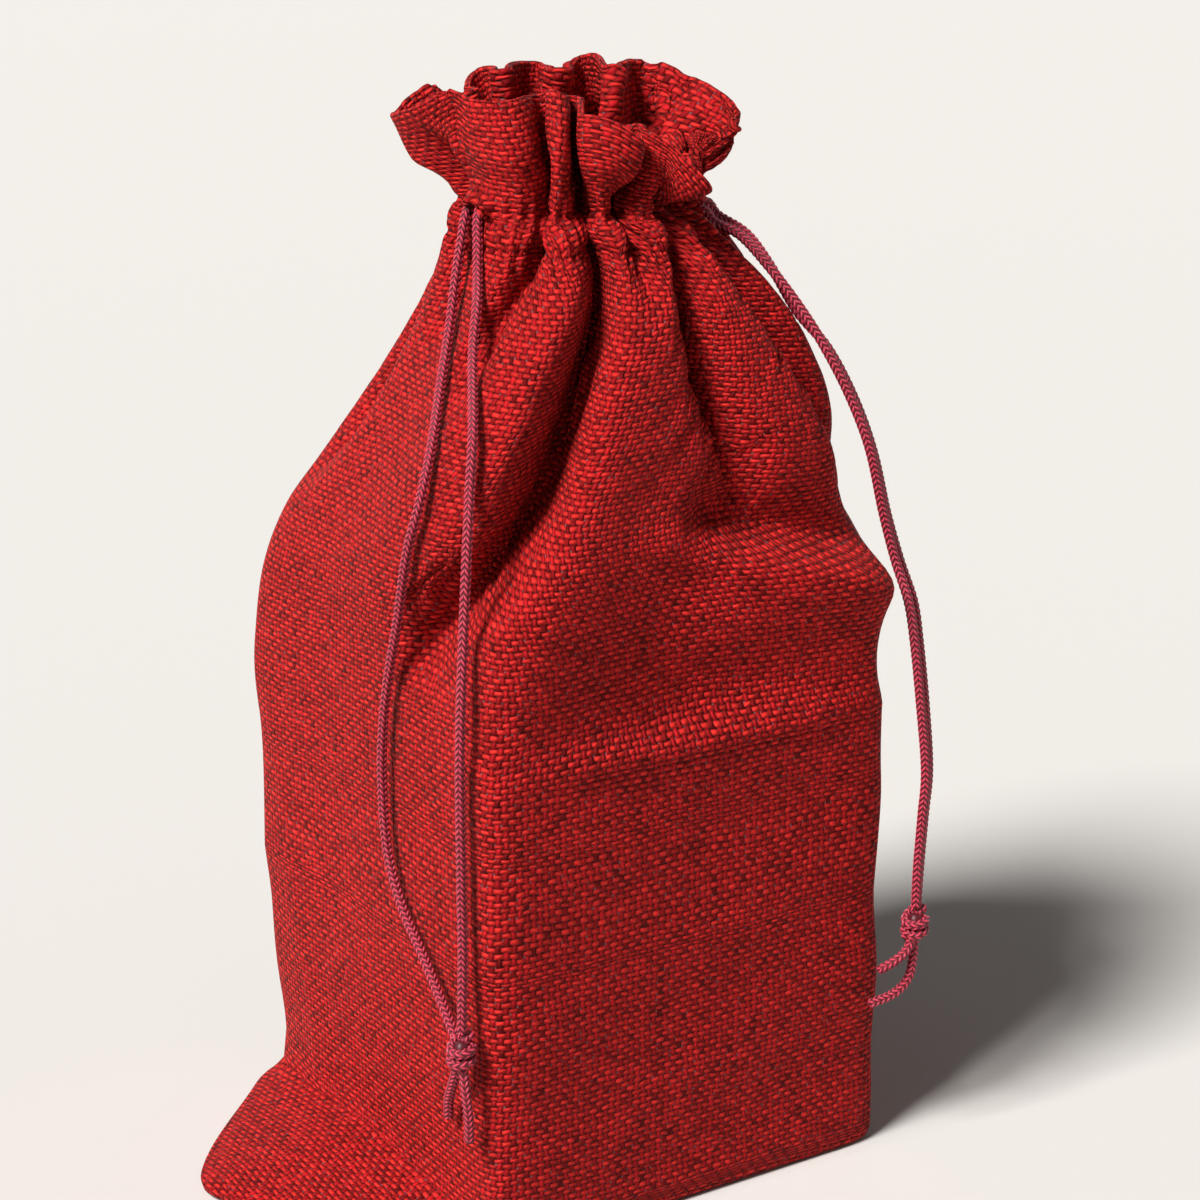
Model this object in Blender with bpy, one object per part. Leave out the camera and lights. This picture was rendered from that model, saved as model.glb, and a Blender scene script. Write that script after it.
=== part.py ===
"""Kinchaku drawstring pouch, drawn shut over a box-shaped filling.

Metres, +Z up. The origin is the middle of the base on the table, the front panel faces -Y and the
left panel faces -X. Angles are in degrees around +Z from +X. The pouch is one solid, because it is
drawn shut and can't be seen into. Each drawstring runs from its knot into the casing at a side seam,
once around the neck inside the casing, out beside itself and back to its knot.
"""

import math
from collections import namedtuple

import bmesh
import bpy
import numpy as np
from mathutils import Vector

MM = 0.001

# Body: the cloth around the filling
BODY_WIDTH = 103 * MM
BODY_DEPTH = 103 * MM
BODY_HEIGHT = 104 * MM
CORNER_POWER = 16.0
FOOT_ROUND = 2.5 * MM

# Ear: the flat bag's bottom corner, which lies on the table beside the left panel
EAR_LENGTH = 38 * MM
EAR_HEIGHT = 9 * MM
EAR_EDGE = 3.0 * MM
EAR_ANGLE = 175.0
EAR_HALF_ANGLE = 39.0

# Neck: the ring where the drawstrings gather the cloth, tilted down toward the front
NECK_HEIGHT = 212 * MM
NECK_RADIUS = 22.5 * MM
NECK_X = 1.5 * MM
NECK_Y = -1.0 * MM
NECK_TILT = 3.0
TILT_ANGLE = 250.0

# Frill: the hem above the casing, whose rim is tilted more than the neck
RIM_TILT = 8.8
HEM_WALL = 1.5 * MM
THROAT_HEIGHT = 5 * MM

# Drawstrings
CORD_DIAMETER = 2.0 * MM
CORD_CLEARANCE = 0.45 * MM
CASING_RADIUS = 11.2 * MM
CASING_LEVEL = -2.8 * MM
CASING_SPACING = 3.6 * MM
EXIT_SPACING = 3.4 * MM
LEFT_EXIT_ANGLE = 185.0
RIGHT_EXIT_ANGLE = 339.5
CORD_POINT_COUNT = 76

# Knots: both strands of a drawstring tied together, with their two tails
KNOT_LENGTH = 8.0 * MM
KNOT_WIDTH = 6.4 * MM
KNOT_GAP = 0.35 * MM

# Mesh
COLUMN_COUNT = 122

Shoulder = namedtuple("Shoulder", "rise share power lean")
Fold = namedtuple("Fold", "name path height before after")
Lobe = namedtuple("Lobe", "angle reach rise tilt")
Drawstring = namedtuple("Drawstring", "side exit_angle level strand_one strand_two knot tails")

# How the cloth narrows from the body to the neck. rise runs from 0 at the body's top edge to 1 at the
# neck, share from 1 at the body's half width to 0 at the neck's radius, power is the section's
# squareness, and lean moves the section toward LEAN_ANGLE.
SHOULDER = [
    Shoulder(0.00, 1.000, CORNER_POWER, 0.0 * MM),
    Shoulder(0.10, 1.010, 13.0, 0.6 * MM),
    Shoulder(0.25, 1.020, 9.0, 1.5 * MM),
    Shoulder(0.36, 0.985, 7.0, 2.2 * MM),
    Shoulder(0.45, 0.900, 5.6, 3.4 * MM),
    Shoulder(0.57, 0.765, 4.4, 5.6 * MM),
    Shoulder(0.67, 0.635, 3.6, 6.4 * MM),
    Shoulder(0.77, 0.490, 3.0, 6.2 * MM),
    Shoulder(0.86, 0.345, 2.6, 4.6 * MM),
    Shoulder(0.95, 0.165, 2.2, 1.8 * MM),
    Shoulder(1.00, 0.040, 2.0, 0.0 * MM),
]
LEAN_ANGLE = -33.3

# Folds of the shoulder. path gives the fold's angle at each rise, height its height in millimetres
# there, and before and after its half widths in degrees on its two sides. The valleys take in the girth
# that the narrowing shoulder has left over.
FOLDS = [
    Fold("front_tuck", [(0.0, 266), (1.0, 258)],
         [(0.00, 0), (0.03, -2.4), (0.06, -4.4), (0.10, -5.4), (0.25, -6.6), (0.45, -7.0), (0.65, -4.0),
          (0.85, 0)], 36, 44),
    Fold("left_ridge", [(0.25, 190), (0.45, 202), (0.60, 208), (0.78, 214), (1.00, 230)],
         [(0.10, 0), (0.30, 3.0), (0.45, 6.0), (0.60, 7.0), (0.78, 5.0), (0.92, 1.5), (1.00, 0)], 24, 7),
    Fold("deep_valley", [(0.20, 203), (0.34, 214), (0.48, 220), (0.60, 221), (0.72, 224), (0.80, 229),
                         (0.90, 236), (1.00, 240)],
         [(0.10, 0), (0.22, -8), (0.34, -15), (0.48, -21), (0.60, -22), (0.72, -21), (0.90, -18), (1.00, -14)],
         6.0, 10.0),
    Fold("cord_valley", [(0.66, 198), (0.76, 199), (0.84, 204), (0.92, 213), (1.00, 219)],
         [(0.62, 0), (0.74, -5), (0.84, -8), (0.92, -10), (1.00, -13)], 4.5, 4.5),
    Fold("slit_pucker", [(0.90, 258), (1.00, 262)], [(0.90, 0), (0.96, -4), (1.00, -12)], 5.0, 5.0),
    Fold("middle_valley", [(0.46, 288), (0.58, 280), (0.70, 274), (0.80, 273), (0.88, 277), (1.00, 287)],
         [(0.40, 0), (0.54, -9), (0.66, -14), (0.80, -16), (0.90, -16), (1.00, -14)], 5.0, 6.0),
    Fold("right_valley", [(0.40, 324), (0.60, 316), (0.80, 308), (0.90, 305), (1.00, 304)],
         [(0.34, 0), (0.50, -8), (0.64, -12), (0.80, -15), (0.90, -16), (1.00, -14)], 5.4, 5.4),
    Fold("right_exit_valley", [(0.40, 345), (0.60, 341), (0.80, 334), (1.00, 324)],
         [(0.36, 0), (0.50, -8), (0.64, -12), (0.80, -15), (0.90, -16), (1.00, -14)], 5.4, 5.4),
    Fold("back_valley_one", [(0.40, 18), (0.70, 10), (1.00, 354)],
         [(0.46, 0), (0.62, -6), (0.80, -11.5), (1.00, -11.3)], 5.4, 5.4),
    Fold("back_valley_two", [(0.15, 44), (0.50, 40), (0.80, 32), (1.00, 22)],
         [(0.15, 0), (0.34, -8), (0.50, -13), (0.70, -14), (1.00, -11.3)], 7.0, 6.0),
    Fold("back_valley_three", [(0.50, 66), (1.00, 51)],
         [(0.62, 0), (0.76, -6), (0.88, -11), (1.00, -11.3)], 5.0, 5.0),
    Fold("back_valley_four", [(0.30, 92), (0.60, 88), (1.00, 81)],
         [(0.34, 0), (0.50, -6), (0.66, -11), (0.84, -12), (1.00, -11.3)], 5.6, 5.6),
    Fold("back_valley_five", [(0.50, 118), (1.00, 111)],
         [(0.56, 0), (0.72, -6), (0.86, -11), (1.00, -11.3)], 5.0, 5.0),
    Fold("back_valley_six", [(0.30, 140), (0.60, 143), (1.00, 140)],
         [(0.36, 0), (0.52, -6), (0.66, -10), (0.84, -11.5), (1.00, -11.3)], 5.4, 5.6),
    Fold("left_exit_valley", [(0.60, 172), (1.00, 170)],
         [(0.70, 0), (0.84, -6), (0.92, -9), (1.00, -11.3)], 5.0, 5.0),
]

# How deep the folds may be at each rise, in millimetres, so that the drawstrings stay inside the neck
DEPTH_LIMITS = [(0.0, 30), (0.7, 30), (0.9, 15), (1.0, 8.7)]

# The left fold's crest, which leans over its valley
LIP_PATH = [(0.25, 188), (0.45, 206), (0.60, 210), (0.78, 218), (1.00, 232)]
LIP_TURN = 7.0
LIP_HALF_ANGLE = 9.0

# The level roll and the dent above it, across the right of the front panel
ROLL_ANGLE = 298.0
ROLL_HALF_ANGLE = 40.0
ROLL_RISE = 0.24
ROLL_HEIGHT = 2.6 * MM
DENT_RISE = 0.40
DENT_DEPTH = 4.6 * MM

# The frill's rim, lobe by lobe and slit by slit: its angle, its reach from the neck's middle, its
# rise above the neck, and the cloth's tilt at the rim, 90 upright and below 0 hanging over.
LOBES = [
    Lobe(150, 37.5 * MM, 16.5 * MM, 15),
    Lobe(166, 36.5 * MM, 21.5 * MM, 40),
    Lobe(182, 33.5 * MM, 27.5 * MM, 60),
    Lobe(193, 27.5 * MM, 26.5 * MM, 75),
    Lobe(206, 33.5 * MM, 26.0 * MM, 60),
    Lobe(219, 31.0 * MM, 27.5 * MM, 70),
    Lobe(229, 22.0 * MM, 27.0 * MM, 85),
    Lobe(238, 29.5 * MM, 27.0 * MM, 70),
    Lobe(246, 20.5 * MM, 26.0 * MM, 85),
    Lobe(257, 32.5 * MM, 25.0 * MM, 60),
    Lobe(267, 34.0 * MM, 21.5 * MM, 45),
    Lobe(275, 25.0 * MM, 19.5 * MM, 65),
    Lobe(285, 36.5 * MM, 12.5 * MM, 0),
    Lobe(295, 38.0 * MM, 9.0 * MM, -15),
    Lobe(308, 31.0 * MM, 15.5 * MM, 40),
    Lobe(319, 33.0 * MM, 22.0 * MM, 60),
    Lobe(332, 36.5 * MM, 18.5 * MM, 25),
    Lobe(349, 33.5 * MM, 21.5 * MM, 60),
    Lobe(3, 26.0 * MM, 23.5 * MM, 80),
    Lobe(20, 33.0 * MM, 21.0 * MM, 60),
    Lobe(38, 24.0 * MM, 22.0 * MM, 80),
    Lobe(52, 31.5 * MM, 22.0 * MM, 60),
    Lobe(64, 24.5 * MM, 21.5 * MM, 85),
    Lobe(80, 32.0 * MM, 21.0 * MM, 60),
    Lobe(97, 25.0 * MM, 22.0 * MM, 80),
    Lobe(113, 33.0 * MM, 21.0 * MM, 60),
    Lobe(129, 27.0 * MM, 21.0 * MM, 75),
]

# The drawstrings' hanging strands, from just outside the casing down to the knot, and their tails,
# from the knot down, as route points in millimetres read from the photograph
DRAWSTRINGS = [
    Drawstring(
        "left", LEFT_EXIT_ANGLE, CASING_LEVEL + 0.5 * CASING_SPACING,
        [(-26.0, -2.4, 210.5), (-27.8, -3.2, 204.5), (-29.4, -4.0, 199.0), (-32.5, -6.4, 189.0),
         (-38.0, -12.0, 179.0), (-45.4, -20.2, 167.4), (-50.5, -24.0, 157.5), (-52.8, -22.5, 147.0),
         (-53.0, -18.5, 132.0), (-53.8, -15.0, 117.5), (-54.2, -13.3, 106.5), (-54.2, -12.5, 94.8),
         (-54.2, -14.2, 80.0), (-54.2, -20.0, 69.5), (-54.4, -28.0, 62.5), (-54.8, -35.0, 56.5)],
        [(-24.8, -5.2, 210.5), (-26.4, -7.6, 204.5), (-28.2, -10.4, 199.0), (-31.2, -15.0, 194.0),
         (-35.4, -20.2, 185.0), (-42.4, -31.6, 172.5), (-45.4, -35.2, 162.0), (-47.5, -37.8, 154.5),
         (-50.0, -40.3, 139.5), (-52.6, -43.2, 125.4), (-53.9, -44.4, 112.8), (-54.3, -44.8, 100.4),
         (-54.4, -45.0, 84.0), (-54.6, -45.4, 67.5)],
        (-56.0, -46.8, 47.2),
        [[(-56.0, -43.5, 40.0), (-55.2, -40.0, 34.0), (-54.2, -38.0, 28.5)],
         [(-56.0, -48.0, 40.0), (-55.4, -48.2, 33.0), (-55.0, -47.6, 27.0)]],
    ),
    Drawstring(
        "right", RIGHT_EXIT_ANGLE, CASING_LEVEL - 0.5 * CASING_SPACING,
        [(28.6, -14.0, 205.5), (31.8, -19.0, 203.0), (34.0, -26.0, 197.4), (37.6, -31.6, 189.8),
         (41.0, -36.5, 181.5), (45.0, -40.6, 171.0), (48.2, -44.0, 159.5), (51.8, -44.8, 145.0),
         (54.2, -46.4, 134.5), (55.2, -50.0, 126.0), (55.0, -52.8, 117.5), (55.8, -54.6, 103.5),
         (56.8, -55.8, 88.5), (56.4, -55.6, 78.0), (55.8, -55.4, 66.0)],
        [(32.8, -9.2, 206.0), (35.8, -15.6, 202.6), (37.2, -22.4, 196.6), (40.0, -28.2, 187.5),
         (44.2, -33.8, 180.0), (48.0, -38.4, 169.5), (51.0, -41.6, 158.0), (54.6, -42.4, 144.0),
         (57.0, -44.4, 133.6), (58.0, -48.2, 125.2), (57.8, -50.8, 116.8), (58.4, -52.8, 102.8),
         (59.2, -53.8, 88.0), (58.8, -53.4, 77.5), (58.0, -53.4, 66.0)],
        (55.6, -55.4, 52.4),
        [[(53.0, -56.4, 47.8), (49.5, -56.4, 45.6), (45.5, -55.2, 43.6)],
         [(54.6, -56.2, 45.0), (53.2, -56.4, 40.5), (49.5, -56.0, 37.5), (43.5, -54.8, 36.0)]],
    ),
]


def through(stations, at):
    """Values of a smooth curve through (place, value) stations, level beyond its ends."""
    x = np.array([station[0] for station in stations], float)
    y = np.array([station[1] for station in stations], float)
    slope = np.gradient(y, x)
    turning = np.ones(len(x), bool)
    turning[1:-1] = (y[1:-1] - y[:-2]) * (y[2:] - y[1:-1]) <= 0
    slope[turning] = 0.0
    at = np.clip(at, x[0], x[-1])
    k = np.clip(np.searchsorted(x, at, side="right") - 1, 0, len(x) - 2)
    span = x[k + 1] - x[k]
    t = (at - x[k]) / span
    return (
        y[k] * (1 + 2 * t) * (1 - t) ** 2
        + slope[k] * span * t * (1 - t) ** 2
        + y[k + 1] * t * t * (3 - 2 * t)
        + slope[k + 1] * span * t * t * (t - 1)
    )


def around(stations, angle):
    """Values of a smooth closed curve through (degrees, value) stations."""
    ordered = sorted((place % 360.0, value) for place, value in stations)
    before = [(place - 360.0, value) for place, value in ordered[-2:]]
    after = [(place + 360.0, value) for place, value in ordered[:2]]
    return through(before + ordered + after, np.mod(angle, 360.0))


def smooth_step(low, high, x):
    t = np.clip((x - low) / (high - low), 0.0, 1.0)
    return t * t * (3 - 2 * t)


def turn_between(angle, middle):
    """Degrees from middle to angle, from -180 to 180."""
    return (angle - middle + 180.0) % 360.0 - 180.0


def polar(angle, radius, middle_x, middle_y, height):
    """Points at a radius from a middle, one row for each angle."""
    a = np.radians(angle)
    return np.stack(
        [middle_x + radius * np.cos(a), middle_y + radius * np.sin(a), np.broadcast_to(height, a.shape)], axis=1
    )


def tilted(points, degrees):
    """Points moved up or down with a level tilted down toward the front about the neck's middle."""
    toward = math.radians(TILT_ANGLE)
    ahead = (points[:, 0] - NECK_X) * math.cos(toward) + (points[:, 1] - NECK_Y) * math.sin(toward)
    moved = points.copy()
    moved[:, 2] -= math.tan(math.radians(degrees)) * ahead
    return moved


def section_radius(angle, half_width, half_depth, power):
    """Radius of a rounded rectangle, as a superellipse."""
    a = np.radians(angle)
    return (np.abs(np.cos(a) / half_width) ** power + np.abs(np.sin(a) / half_depth) ** power) ** (-1 / power)


def ear_outline(angle):
    """The ear's reach by angle, 1 at its tip and 0 past the body's corners."""
    softness = 0.08
    across = turn_between(angle, EAR_ANGLE) / EAR_HALF_ANGLE
    rounded = np.sqrt(across * across + softness * softness) - softness
    return np.clip(1.0 - rounded, 0.0, 1.0)


def body_ring(angle, height, ear_share=0.0, inset=0.0):
    """The cloth on the body at one height, reaching out by ear_share of the ear's length."""
    radius = section_radius(angle, BODY_WIDTH / 2, BODY_DEPTH / 2, CORNER_POWER) - inset
    radius = radius + EAR_LENGTH * ear_share * ear_outline(angle)
    return polar(angle, radius, 0.0, 0.0, height)


def ear_ring(angle, share):
    """The ear's upper face where it has share of its reach left, level with the foot elsewhere."""
    slope = (EAR_HEIGHT - EAR_EDGE) * (1 - share) ** 1.3
    height = EAR_EDGE + slope * (0.5 + 0.5 * ear_outline(angle))
    return body_ring(angle, height, share)


def fold_height(angle, rise):
    """How far the folds move the cloth outward."""
    total = np.zeros_like(angle)
    for fold in FOLDS:
        turn = turn_between(angle, through(fold.path, rise))
        width = np.where(turn < 0, fold.before, fold.after)
        total += through(fold.height, rise) * MM * np.exp(-((turn / width) ** 2))
    roll = ROLL_HEIGHT * math.exp(-(((rise - ROLL_RISE) / 0.08) ** 2))
    dent = DENT_DEPTH * math.exp(-(((rise - DENT_RISE) / 0.10) ** 2))
    reach = smooth_step(0.0, 0.6, 1 - np.abs(turn_between(angle, ROLL_ANGLE)) / ROLL_HALF_ANGLE)
    limit = through(DEPTH_LIMITS, rise) * MM
    limited = total / (1 + np.abs(total / limit) ** 4) ** 0.25
    return limited + (roll - dent) * reach


def shoulder_ring(angle, rise):
    """The cloth at one rise between the body's top edge and the neck."""
    share, power, lean = (
        through([(station.rise, getattr(station, field)) for station in SHOULDER], rise)
        for field in ("share", "power", "lean")
    )
    half_width = NECK_RADIUS + (BODY_WIDTH / 2 - NECK_RADIUS) * share
    half_depth = NECK_RADIUS + (BODY_DEPTH / 2 - NECK_RADIUS) * share
    radius = section_radius(angle, half_width, half_depth, power) + fold_height(angle, rise)
    toward_neck = smooth_step(0.0, 1.0, rise)
    middle_x = lean * math.cos(math.radians(LEAN_ANGLE)) + NECK_X * toward_neck
    middle_y = lean * math.sin(math.radians(LEAN_ANGLE)) + NECK_Y * toward_neck
    height = BODY_HEIGHT + (NECK_HEIGHT - BODY_HEIGHT) * rise
    turn = turn_between(angle, through(LIP_PATH, rise))
    over = smooth_step(0.2, 0.4, rise) * (1 - smooth_step(0.85, 1.0, rise))
    lip = LIP_TURN * over * np.exp(-((turn / LIP_HALF_ANGLE) ** 2))
    ring = polar(angle + lip, radius, middle_x, middle_y, height)
    return tilted(ring, NECK_TILT * smooth_step(0.5, 1.0, rise))


def frill_profile(angle, t):
    """The frill's radius and its lift above the neck, at t from 0 at the neck to 1 at the rim."""
    reach, rise, tilt = (
        around([(lobe.angle, getattr(lobe, field)) for lobe in LOBES], angle)
        for field in ("reach", "rise", "tilt")
    )
    start = NECK_RADIUS + fold_height(angle, 1.0)
    pull = 0.45 * rise + 2.7 * MM
    radius = (
        start * (1 - t) ** 3
        + 3 * (0.7 * start + 0.3 * reach) * t * (1 - t) ** 2
        + 3 * (reach - pull * np.cos(np.radians(tilt))) * t * t * (1 - t)
        + reach * t**3
    )
    lift = (
        3 * (0.22 * rise + 2 * MM) * t * (1 - t) ** 2
        + 3 * (rise - pull * np.sin(np.radians(tilt))) * t * t * (1 - t)
        + rise * t**3
    )
    return radius, lift


def frill_wall(angle, t):
    """The hem's thickness along a radius, more where a fold's side is steep."""
    step = 0.5
    radius = frill_profile(angle, t)[0]
    slope = (frill_profile(angle + step, t)[0] - frill_profile(angle - step, t)[0]) / (2 * math.radians(step))
    return HEM_WALL * np.minimum(np.sqrt(1 + (slope / radius) ** 2), 2.2)


def frill_ring(angle, t, inner=False):
    """The frill's outer skin at t, or its inner skin a hem's wall away."""
    radius, lift = frill_profile(angle, t)
    if inner:
        step = 0.01
        ahead_radius, ahead_lift = frill_profile(angle, t + step)
        length = np.hypot(ahead_radius - radius, ahead_lift - lift)
        wall = frill_wall(angle, t)
        inner_radius = radius - wall * (ahead_lift - lift) / length
        lift = lift + wall * (ahead_radius - radius) / length
        radius = inner_radius
    ring = polar(angle, radius, NECK_X, NECK_Y, NECK_HEIGHT + lift)
    return tilted(ring, NECK_TILT + (RIM_TILT - NECK_TILT) * t)


def even_angles(ring_at):
    """The angles that spread a ring's columns evenly over its cloth, from a function of the angle."""
    angle = np.linspace(0.0, 360.0, 2881)
    ring = ring_at(angle)
    run = np.concatenate([[0.0], np.cumsum(np.linalg.norm(np.diff(ring, axis=0), axis=1))])
    share = run / run[-1] + angle / 360.0
    return np.interp(2.0 * np.arange(COLUMN_COUNT) / COLUMN_COUNT, share, angle)


def spread_evenly(ring_at, neck_angles, neck_share):
    """A ring's points at even steps of cloth, drawn toward the neck's columns by a share."""
    angles = even_angles(ring_at)
    return ring_at(angles + (neck_angles - angles) * neck_share)


def pouch_rings():
    """Every ring of the pouch's skin: up the outside from the base, over the rim and down the throat."""
    rings = [
        lambda angle: body_ring(angle, 0.0, 1.0, FOOT_ROUND),
        lambda angle: body_ring(angle, 0.3 * FOOT_ROUND, 1.0, 0.3 * FOOT_ROUND),
        lambda angle: body_ring(angle, FOOT_ROUND, 1.0),
    ]
    rings += [lambda angle, share=share: ear_ring(angle, share) for share in (0.75, 0.45, 0.18, 0.0)]
    wall_heights = np.linspace(EAR_HEIGHT + 12 * MM, BODY_HEIGHT - 5 * MM, 3)
    rings += [lambda angle, height=height: body_ring(angle, height) for height in wall_heights]
    rings += [lambda angle, rise=rise: shoulder_ring(angle, rise) for rise in (0.0, 0.03, 0.07)]
    neck_shares = [0.0] * len(rings)
    for rise in list(np.linspace(0.12, 0.48, 8)) + list(np.linspace(0.53, 0.86, 8)) + [0.89, 0.92, 0.95, 0.98]:
        rings.append(lambda angle, rise=rise: shoulder_ring(angle, rise))
        neck_shares.append(smooth_step(0.80, 0.92, rise))
    for t in (0.0, 0.12, 0.26, 0.42, 0.58, 0.72, 0.86, 1.0):
        rings.append(lambda angle, t=t: frill_ring(angle, t))
        neck_shares.append(1 - t)
    for t in (1.0, 0.76, 0.52, 0.3):
        rings.append(lambda angle, t=t: frill_ring(angle, t, inner=True))
        neck_shares.append(1 - t)
    neck_angles = even_angles(lambda angle: shoulder_ring(angle, 1.0))
    return [spread_evenly(ring_at, neck_angles, share) for ring_at, share in zip(rings, neck_shares)]


def make_material(name, colour, roughness):
    material = bpy.data.materials.new(name)
    material.use_nodes = True
    shader = material.node_tree.nodes["Principled BSDF"]
    shader.inputs["Base Color"].default_value = (*colour, 1.0)
    shader.inputs["Roughness"].default_value = roughness
    shader.inputs["Metallic"].default_value = 0.0
    return material


def add_object(name, data, material):
    obj = bpy.data.objects.new(name, data)
    bpy.context.scene.collection.objects.link(obj)
    data.materials.append(material)
    return obj


def next_ring(bm, ring, edges, points):
    """The ring of vertices extruded from a ring's edges and moved to points, with its edges."""
    made = bmesh.ops.extrude_edge_only(bm, edges=edges)["geom"]
    fresh = {item for item in made if isinstance(item, bmesh.types.BMVert)}
    new_ring = []
    for vert, point in zip(ring, points):
        partner = next(e.other_vert(vert) for e in vert.link_edges if e.other_vert(vert) in fresh)
        partner.co = Vector(point)
        new_ring.append(partner)
    new_edges = [e for e in made if isinstance(e, bmesh.types.BMEdge) and all(v in fresh for v in e.verts)]
    return new_ring, new_edges


def make_pouch(material):
    """The pouch's skin, extruded ring by ring from the base and closed at the throat."""
    rings = pouch_rings()
    bm = bmesh.new()
    ring = bmesh.ops.create_circle(bm, segments=COLUMN_COUNT, radius=BODY_WIDTH)["verts"]
    edges = list(bm.edges)
    for vert, point in zip(ring, rings[0]):
        vert.co = Vector(point)
    bm.faces.new(list(reversed(ring)))
    for points in rings[1:]:
        ring, edges = next_ring(bm, ring, edges, points)
    throat = bm.verts.new((NECK_X, NECK_Y, NECK_HEIGHT + THROAT_HEIGHT))
    for k in range(COLUMN_COUNT):
        bm.faces.new((ring[k], ring[(k + 1) % COLUMN_COUNT], throat))
    bmesh.ops.recalc_face_normals(bm, faces=bm.faces)
    mesh = bpy.data.meshes.new("pouch")
    bm.to_mesh(mesh)
    bm.free()
    mesh.shade_smooth()
    mesh.set_sharp_from_angle(angle=math.radians(50))
    return add_object("pouch", mesh, material)


def casing_route(string):
    """A drawstring's route inside the casing, from one side of its exit around to the other."""
    exit_turn = math.degrees(EXIT_SPACING / 2 / NECK_RADIUS)
    way_in = [
        (NECK_RADIUS + 3.5 * MM, exit_turn),
        (NECK_RADIUS - 3.0 * MM, 1.9 * exit_turn),
        (CASING_RADIUS + 2.5 * MM, 6.0 * exit_turn),
    ]
    ring = [(CASING_RADIUS, turn) for turn in np.linspace(50.0, 310.0, 10)]
    way_out = [(radius, 360.0 - turn) for radius, turn in reversed(way_in)]
    steps = way_in + ring + way_out
    angle = np.array([string.exit_angle - turn for radius, turn in steps])
    radius = np.array([radius for radius, turn in steps])
    points = polar(angle, radius, NECK_X, NECK_Y, NECK_HEIGHT + string.level)
    return [Vector(point) for point in tilted(points, NECK_TILT)]


def smooth_route(route):
    """A dense smooth curve through a route's points."""
    points = [np.array(point) for point in route]
    points = [2 * points[0] - points[1]] + points + [2 * points[-1] - points[-2]]
    dense = []
    for a, b, c, d in zip(points, points[1:], points[2:], points[3:]):
        for t in np.linspace(0.0, 1.0, 24, endpoint=False):
            dense.append(
                0.5 * (2 * b + (c - a) * t + (2 * a - 5 * b + 4 * c - d) * t * t + (3 * b - a - 3 * c + d) * t**3)
            )
    return np.array(dense + [points[-2]])


def evenly(route, count):
    """A given number of points spread evenly along a route."""
    lengths = np.linalg.norm(np.diff(route, axis=0), axis=1)
    run = np.concatenate([[0.0], np.cumsum(lengths)])
    places = np.linspace(0.0, run[-1], count)
    return np.stack([np.interp(places, run, route[:, axis]) for axis in range(3)], axis=1)


def knot_end(strand, knot):
    """The strand's last point, just clear of the knot on the way to its middle."""
    away = (strand[-1] - knot).normalized()
    half = Vector((KNOT_WIDTH / 2, KNOT_WIDTH / 2, KNOT_LENGTH / 2))
    surface = 1 / math.sqrt(sum((away[axis] / half[axis]) ** 2 for axis in range(3)))
    return knot + away * (surface + KNOT_GAP)


def in_metres(points):
    return [Vector(point) * MM for point in points]


def drawstring_points(string):
    """The whole drawstring's centreline, from its knot through the casing and back to its knot."""
    knot = Vector(string.knot) * MM
    strand_one = in_metres(string.strand_one)
    strand_two = in_metres(string.strand_two)
    strand_one.append(knot_end(strand_one, knot))
    strand_two.append(knot_end(strand_two, knot))
    route = list(reversed(strand_one)) + casing_route(string) + strand_two
    return evenly(smooth_route(route), CORD_POINT_COUNT)


def make_tube(name, points, diameter, material):
    curve = bpy.data.curves.new(name, "CURVE")
    curve.dimensions = "3D"
    curve.bevel_depth = diameter / 2
    curve.bevel_resolution = 2
    curve.use_fill_caps = True
    spline = curve.splines.new("POLY")
    spline.points.add(len(points) - 1)
    for spline_point, place in zip(spline.points, points):
        spline_point.co = (*place, 1.0)
    return add_object(name, curve, material)


def hide_cutter(obj):
    obj.hide_render = True
    obj.display_type = "WIRE"


def tube_as_mesh(obj):
    """A curve object's tube as a mesh object of the same name, in the curve's place."""
    name = obj.name
    material = obj.data.materials[0]
    mesh = bpy.data.meshes.new_from_object(obj.evaluated_get(bpy.context.evaluated_depsgraph_get()))
    bpy.data.objects.remove(obj)
    mesh.materials.clear()
    bm = bmesh.new()
    bm.from_mesh(mesh)
    bmesh.ops.remove_doubles(bm, verts=bm.verts, dist=0.00001)
    bmesh.ops.recalc_face_normals(bm, faces=bm.faces)
    bm.to_mesh(mesh)
    bm.free()
    return add_object(name, mesh, material)


def combine(obj, other, operation):
    modifier = obj.modifiers.new(other.name, "BOOLEAN")
    modifier.operation = operation
    modifier.object = other
    modifier.solver = "EXACT"
    hide_cutter(other)


def cut_casing(pouch, string, points, material):
    """The drawstring's tunnel through the gathered neck, open where both strands come out."""
    middle = np.array([NECK_X, NECK_Y, NECK_HEIGHT])
    from_middle = np.linalg.norm(points - middle, axis=1)
    inside = np.nonzero(from_middle < NECK_RADIUS + 8 * MM)[0]
    tunnel = points[inside[0] - 1 : inside[-1] + 2]
    cutter = make_tube(f"{string.side}_tunnel", tunnel, CORD_DIAMETER + 2 * CORD_CLEARANCE, material)
    combine(pouch, tube_as_mesh(cutter), "DIFFERENCE")


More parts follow.
